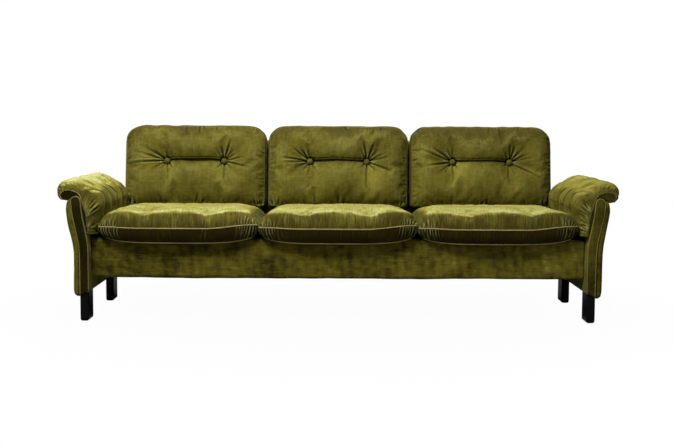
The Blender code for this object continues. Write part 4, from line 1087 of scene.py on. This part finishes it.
def arm_pad(name, side):
    """The channelled pad over an arm, gathered into its front seam."""
    random = np.random.default_rng(630 + (side > 0))
    places = lines(150, 0.2, [(seam, 0.05, 1.0) for seam in SEAMS])
    (s, t, r), quads = shell(places, lines(110, 0.15), np.linspace(-1, 1, 9))
    top = np.where(r > FACE, 1.0, 0.0)
    u, v = s * PAD_HALF, (t + 1) / 2 * PAD_GIRTH
    field = pad_gathers(u, v, random)
    channels, unshaded = pad_channels(u, v, random)
    field = (field + channels) * top
    # Grooves and creases get painted shade; ridges turn paler, part rubbed wear, part painted highlight
    fold = np.clip((field - unshaded) / 0.005, -1, 1)
    base = pad_form(s, t, r, side) + on_grid(PAD_CLOTH, s, t) * (-side, 1, 1) * top[:, None]
    field += 0.0015 * wander(base, 0.09, 230 + side) * top
    points = pushed(base, quads, field)
    # Painted light: faces that look up are painted lighter, more on the left arm than the right; the wave is
    # the pile's own tone
    lit = 3.6 if side < 0 else 1.6
    up = outward(points, quads)[:, 2]
    nap_and_painted_light = 0.4 * wander(base, 0.08, 250 + side) + lit * smooth(0.66, 0.98, up) - 0.5
    # The front end face takes the darker panel velvet on the left, as painted shade, and the lighter copy on
    # the right, as painted light
    end_face = (PANEL_VELVET if side < 0 else LIT_PANEL_VELVET, s[quads].max(1) < -0.9999)
    soft, node = "arm_pad_soft_" + name, "arm_pad_" + name
    made = piece(soft, points, quads, ARM_VELVET, [node], fold=fold, nap_and_painted_light=nap_and_painted_light, second=end_face)
    # The left lip's cord is the pale piping as painted light; the cords below it and on the right arm are
    # the dark piping as painted shade
    for label, end, first, last, cord in (
        ("front", -1, -0.98, 0.15, DARK_PIPING),
        ("lip", -1, 0.16, 1, PIPING if side < 0 else DARK_PIPING),
        ("rear", 1, -0.98, 1, DARK_PIPING),
    ):
        t = np.linspace(first, last, 60)
        path = pad_form(np.full_like(t, end), t, np.full_like(t, 1), side)
        path[:, 1] += end * 0.0008
        tube(f"arm_pad_cord_{label}_{name}", path, PAD_CORD, cord, closed=False)


def panel_form(s, t, r, side):
    """An arm panel's cover: an arched, flared board with padded front and rear bands."""
    foot_z = FOOT_INNER + (FOOT_OUTER - FOOT_INNER) * (s + 1) / 2
    top = ARCH_Z + PANEL / 2 * np.sqrt(np.maximum(0, 1 - s * s))
    z = foot_z + (top - foot_z) * (t + 1) / 2
    eased = np.abs(r) ** 60
    x = ARM_FACE + PANEL / 2 + flare(z) + s * PANEL / 2 * (1 - 0.10 * eased)
    z = z - 0.002 * eased * (t > 0.9)
    puff = PANEL_PUFF * np.maximum(0, 1 - s**4) * np.maximum(0, 1 - t**12)
    y = ARM_MIDDLE + ARM_HALF * r + np.where(np.abs(r) > 0.9999, np.sign(r) * puff, 0)
    return np.stack([side * x, y, z], -1)


def band_edge(t):
    """Where the outer piping runs on a panel's front, from its foot to its top."""
    return 0.66 + 0.28 * smooth(-0.6, 0.9, t)


def arm_panel(name, side):
    """An arm's cover, with piping round the bands on its front and rear."""
    (s, t, r), quads = shell(lines(22, 0.3), lines(70, 0.05), lines(60, 0.1))
    base = panel_form(s, t, r, side)
    held = smooth(0.0, 0.03, 1 - np.abs(s)) + (np.abs(s) > 0.999)
    points = pushed(base, quads, 0.0007 * wander(base, 0.05, 330 + side) * held)
    # Painted light: the panel's top, above the arch's start, is painted lighter; the wave is the pile's own
    # tone
    nap_and_painted_light = 0.6 * wander(base, 0.10, 350 + side) + 0.9 * smooth(0.44, 0.50, base[:, 2])
    at_end = np.abs(r[quads]).min(1) > 0.9999
    past_band = s[quads].mean(1) > band_edge(t[quads].mean(1))
    faces = (APRON_VELVET, ~at_end | past_band)
    # Darker panel velvet on the left as painted shade, the lighter copy on the right as painted light
    cloth = PANEL_VELVET if side < 0 else LIT_PANEL_VELVET
    piece("arm_panel_" + name, points, quads, cloth, ["arm_cover_" + name], nap_and_painted_light=nap_and_painted_light, second=faces)
    rise = np.linspace(-1, 1, 60)
    inner = np.stack([np.full(60, -1.0), rise], -1)
    arch = np.stack([np.linspace(-1, band_edge(1.0), 24)[1:-1], np.ones(22)], -1)
    outer = np.stack([band_edge(rise), rise], -1)
    outline = np.concatenate([inner, arch, outer[::-1]])
    for label, end in (("front", -1), ("rear", 1)):
        path = panel_form(outline[:, 0], outline[:, 1], np.full(len(outline), float(end)), side)
        path[:, 1] += end * 0.0003
        tube(f"arm_piping_{label}_{name}", path, PANEL_CORD, ARM_PIPING, closed=False)


def outer_pad(name, side):
    """The foam pad on an arm's outer face, with rolled and lightly gathered edges."""
    random = np.random.default_rng(730 + (side > 0))
    top = ARM_TOP - OUTER_DROP
    middle_z, half_z = (top + OUTER_FOOT) / 2, (top - OUTER_FOOT) / 2
    (s, t, r), quads = shell(lines(120, 0.3), lines(80, 0.3), np.linspace(-1, 1, 5))
    corner = np.abs(t) ** 24 * np.abs(s) ** 40
    y = ARM_MIDDLE + ARM_HALF * s * (1 - 0.02 * corner)
    z = middle_z + half_z * t * (1 - 0.04 * corner)
    edge = np.minimum(ARM_HALF * (1 - np.abs(s)), half_z * (1 - np.abs(t)))
    slack = OUTER_SLACK * OUTER_PAD
    ends = rounded(ARM_HALF * (1 - np.abs(s)) + slack, OUTER_PAD)
    upper = rounded(half_z * (1 - t) + slack, OUTER_TAPER)
    lower = rounded(half_z * (1 + t) + slack, OUTER_FOOT_TAPER)
    thick = OUTER_PAD * np.minimum(ends, np.minimum(upper, lower))
    face = ARM_FACE + PANEL + CLEAR + flare(z)
    base = np.stack([side * (face + thick * (r + 1) / 2), y, z], -1)
    field = np.zeros_like(s)
    for _ in range(40):
        place, length = random.uniform(-0.95, 0.95) * ARM_HALF, random.uniform(0.02, 0.05)
        end = random.choice((-1, 1))
        start = (place, end * (half_z - 0.010))
        stop = (place + random.uniform(-0.01, 0.01), end * (half_z - length))
        field += crease(y - ARM_MIDDLE, z - middle_z, start, stop, 0.004, random.uniform(0.0008, 0.0022))
    held = np.where(r > FACE, smooth(0.0, 0.012, edge), 0)
    # Creases get painted shade; their lips turn paler, part rubbed wear, part painted highlight
    fold = np.clip(field * held / 0.004, -1, 1)
    field += wander(base, 0.14, 430 + side) * 0.0022 + wander(base, 0.05, 460 + side) * 0.0007
    points = pushed(base, quads, field * held)
    nap_and_painted_light = 0.3 * wander(base, 0.12, 480 + side)
    soft, node = "arm_outer_soft_" + name, "arm_outer_pad_" + name
    made = piece(soft, points, quads, APRON_VELVET, [node], fold=fold, nap_and_painted_light=nap_and_painted_light)


# Apron, back and feet


def arc(centre, radius, start, end, steps):
    angles = np.radians(np.linspace(start, end, steps + 1))
    return [(centre[0] + radius * math.cos(a), centre[1] + radius * math.sin(a)) for a in angles]


def apron():
    """The padded cloth round the front rail: one section, drawn out across the sofa."""
    edge_y = APRON_FRONT + APRON_EDGE
    outer = [
        (APRON_UNDER_END, APRON_BOTTOM),
        *arc((edge_y, APRON_BOTTOM + APRON_EDGE), APRON_EDGE, 270, 180, 8),
        *arc((edge_y, APRON_TOP - APRON_EDGE), APRON_EDGE, 180, 90, 8),
        (APRON_TOP_END, APRON_TOP),
    ]
    inner = [
        (APRON_UNDER_END, APRON_INNER_BOTTOM),
        (APRON_INNER, APRON_INNER_BOTTOM),
        (APRON_INNER, APRON_INNER_TOP),
        (APRON_TOP_END, APRON_INNER_TOP),
    ]
    (s, t, r), quads = shell(np.linspace(-1, 1, 261), np.linspace(-1, 1, 55), np.array((-1.0, 1.0)))
    share = (t + 1) / 2
    point = np.where((r > 0)[:, None], along(outer, share), along(inner, share))
    base = np.stack([BASE_HALF * s, point[:, 0], point[:, 1]], -1)
    field = wander(base, 0.22, 840) + wander(base * (1, 0.4, 0.4), 0.035, 847) * 0.35
    field *= APRON_SWAY * np.where(r > 0, smooth(0, 0.02, 1 - np.abs(s)), 0)
    points = pushed(base, quads, field)
    clouds = base * (1, 1, 1.4)
    # Painted shade: darker towards the left end; the waves are the pile's own tone
    nap_and_painted_light = 0.42 * wander(clouds, 0.06, 860) + 0.32 * wander(clouds, 0.022, 861) + 0.55 * s
    piece("apron_soft", points, quads, APRON_VELVET, ["front_apron"], nap_and_painted_light=nap_and_painted_light)


def back_cover_form(s, t, r):
    """A slab with a knee: upright behind the base, leaning back above it, with round top edges."""
    knee = BACK_ORIGIN[1]
    height = BACK_FOOT + (t + 1) / 2 * (knee + BACK_TOP - BACK_FOOT)
    rounding = BACK_TOP_ROUND * smooth(0.96, 1.0, t) * r * r
    deep = -LINING + (BACK_REAR + LINING) * (r + 1) / 2 - np.sign(r) * rounding
    above = np.maximum(0, height - knee)
    leaning = smooth(0, 0.02, above)
    cosine, sine = math.cos(BACK_RAKE), math.sin(BACK_RAKE)
    y = BACK_ORIGIN[0] + deep * (1 + (cosine - 1) * leaning) + above * sine
    z = np.minimum(height, knee) + above * cosine - deep * sine * leaning
    return np.stack([BACK_HALF * s, y, z], -1)


def back_cover():
    """The velvet back with a piped edge round its rear and two welted seams."""
    (s, t, r), quads = shell(lines(150, 0.1), lines(60, 0.1), lines(8, 0.1))
    base = back_cover_form(s, t, r)
    field = wander(base, 0.2, 910) * 0.0014 + wander(base, 0.06, 915) * 0.0005
    field *= np.where(r > FACE, smooth(0, 0.05, to_edge(s, t)), 0)
    points = pushed(base, quads, field)
    nap_and_painted_light = 0.7 * wander(base, 0.14, 930)
    piece("back_cover_soft", points, quads, APRON_VELVET, ["back_cover"], nap_and_painted_light=nap_and_painted_light)
    s, t = round_the_edge(90)
    path = back_cover_form(s, t, np.full_like(s, 1.0))
    path[:, 1] += 0.0006
    tube("back_piping", path, COVER_CORD, DARK_PIPING)
    t = np.linspace(-0.97, 0.97, 60)
    for label, side in SIDES.items():
        path = back_cover_form(np.full_like(t, side * PITCH / 2 / BACK_HALF), t, np.full_like(t, 1.0))
        path[:, 1] += 0.0004
        tube("back_welt_seam_" + label, path, COVER_SEAM_CORD, DARK_PIPING, closed=False)


def foot(name):
    """A flat lacquered foot with rounded edges."""
    low, high = (np.array(corner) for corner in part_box("leg_" + name))
    high[2] = FOOT_TOP
    q, quads = shell(lines(14, 0.25), lines(22, 0.25), lines(22, 0.2))
    points = (low + high) / 2 + q.T * (high - low) / 2
    upper = high - FOOT_ROUND
    upper[2] = high[2]
    core = np.clip(points, low + FOOT_ROUND, upper)
    off = points - core
    length = np.linalg.norm(off, axis=1, keepdims=True)
    points = core + off / np.maximum(length, 1e-9) * np.where(length > 1e-9, FOOT_ROUND, 0)
    piece("foot_" + name, points, quads, LACQUER, ["leg_" + name])


for number in range(len(SEATS)):
    seat_cushion(number)
    back_cushion(number)
for arm, way in SIDES.items():
    arm_pad(arm, way)
    arm_panel(arm, way)
    outer_pad(arm, way)
    for end in ("front", "rear"):
        foot(f"{arm}_{end}")
apron()
back_cover()

# Finishes of the CAD pieces inside
BEECH_DARK, BEECH_LIGHT = (0.36, 0.20, 0.09), (0.58, 0.38, 0.20)
BEECH_X = timber("beech_across", BEECH_DARK, BEECH_LIGHT, (5, 60, 60))
BEECH_Y = timber("beech_deep", BEECH_DARK, BEECH_LIGHT, (60, 5, 60))
BEECH_Z = timber("beech_upright", BEECH_DARK, BEECH_LIGHT, (60, 60, 5))
BOARD = chips()
STRAP = woven("jute_webbing", (0.030, 0.024, 0.016), (0.10, 0.082, 0.058), 420)
LINING_CLOTH = woven("black_lining", (0.008, 0.008, 0.008), (0.026, 0.026, 0.025), 900)
ZINC = zinc()
FINISHES = (
    (BEECH_X, ("front_rail", "rear_rail", "back_top_rail")),
    (BEECH_Y, ("end_rail", "cross_rail")),
    (BEECH_Z, ("corner_block", "back_post")),
    (BOARD, ("arm_core",)),
    (STRAP, ("seat_webbing", "back_webbing")),
    (LINING_CLOTH, ("seat_deck", "dust_cover")),
    (ZINC, ("arm_bolt", "post_bolt")),
)
for node_name, node in frame["nodes"].items():
    for material, starts in FINISHES:
        if node_name.startswith(starts):
            node.data.materials.clear()
            node.data.materials.append(material)


# Stage, light and camera

FLOOR_HALF = 14
CAMERA_PLACE = (-0.0042, -5.0383, 0.8118)
CAMERA_PITCH, CAMERA_ROLL = 0.0885, 0.0051
CAMERA_LENS, CAMERA_SENSOR = 62.651, 36.0


def stage():
    """A floor that shows white to the camera, with a faint shade close to the sofa."""
    made, tree, shader, where = new_material("studio_floor")
    shader.inputs["Base Color"].default_value = (0.20, 0.20, 0.20, 1)
    shader.inputs["Roughness"].default_value = 0.9
    far = add(tree, "ShaderNodeVectorMath", {0: where}, operation="LENGTH").outputs["Value"]
    clear = between(tree, far, 0.8, 1.8, 0.97, 1.0)
    camera_ray = add(tree, "ShaderNodeLightPath").outputs["Is Camera Ray"]
    white = add(tree, "ShaderNodeEmission", {"Color": (1, 1, 1, 1), "Strength": 1.0}).outputs[0]
    share = maths(tree, "MULTIPLY", clear, camera_ray)
    mixed = add(tree, "ShaderNodeMixShader", {0: share, 1: shader.outputs[0], 2: white}).outputs[0]
    tree.links.new(mixed, tree.nodes["Material Output"].inputs["Surface"])
    mesh = bpy.data.meshes.new("studio_floor")
    corners = [(x * FLOOR_HALF, y * FLOOR_HALF, 0) for x, y in ((-1, -1), (1, -1), (1, 1), (-1, 1))]
    mesh.from_pydata(corners, [], [(0, 1, 2, 3)])
    mesh.materials.append(made)
    floor = bpy.data.objects.new("studio_floor", mesh)
    bpy.context.scene.collection.objects.link(floor)


def world():
    """A white surround for the camera, and a dim one for light."""
    made = bpy.data.worlds.new("studio")
    made.use_nodes = True
    tree = made.node_tree
    tree.nodes.clear()
    soft = add(tree, "ShaderNodeBackground", {"Color": (0.97, 0.98, 1.0, 1), "Strength": 0.06}).outputs[0]
    white = add(tree, "ShaderNodeBackground", {"Color": (1, 1, 1, 1), "Strength": 1.0}).outputs[0]
    camera_ray = add(tree, "ShaderNodeLightPath").outputs["Is Camera Ray"]
    mixed = add(tree, "ShaderNodeMixShader", {0: camera_ray, 1: soft, 2: white}).outputs[0]
    add(tree, "ShaderNodeOutputWorld", {"Surface": mixed})
    bpy.context.scene.world = made


def lamp(name, place, target, size, energy):
    data = bpy.data.lights.new(name, "AREA")
    data.shape = "RECTANGLE"
    data.size, data.size_y = size
    data.energy = energy
    obj = bpy.data.objects.new(name, data)
    obj.location = place
    obj.rotation_euler = (Vector(target) - Vector(place)).to_track_quat("-Z", "Y").to_euler()
    bpy.context.scene.collection.objects.link(obj)


def camera():
    data = bpy.data.cameras.new("photo_camera")
    data.lens, data.sensor_width = CAMERA_LENS, CAMERA_SENSOR
    obj = bpy.data.objects.new("photo_camera", data)
    tilt = Matrix.Rotation(math.pi / 2 - CAMERA_PITCH, 4, "X")
    obj.matrix_world = Matrix.Translation(CAMERA_PLACE) @ tilt @ Matrix.Rotation(CAMERA_ROLL, 4, "Z")
    bpy.context.scene.collection.objects.link(obj)
    bpy.context.scene.camera = obj


stage()
world()
lamp("key", (-1.3, -2.3, 3.6), (0, 0, 0.4), (1.4, 0.9), 195)
lamp("top", (-0.2, 0.35, 3.2), (0, -0.1, 0.4), (3.2, 1.0), 140)
lamp("fill", (2.6, -3.4, 1.8), (0.2, 0, 0.3), (2.0, 2.0), 16)
camera()
bpy.context.scene.view_settings.view_transform = "Standard"
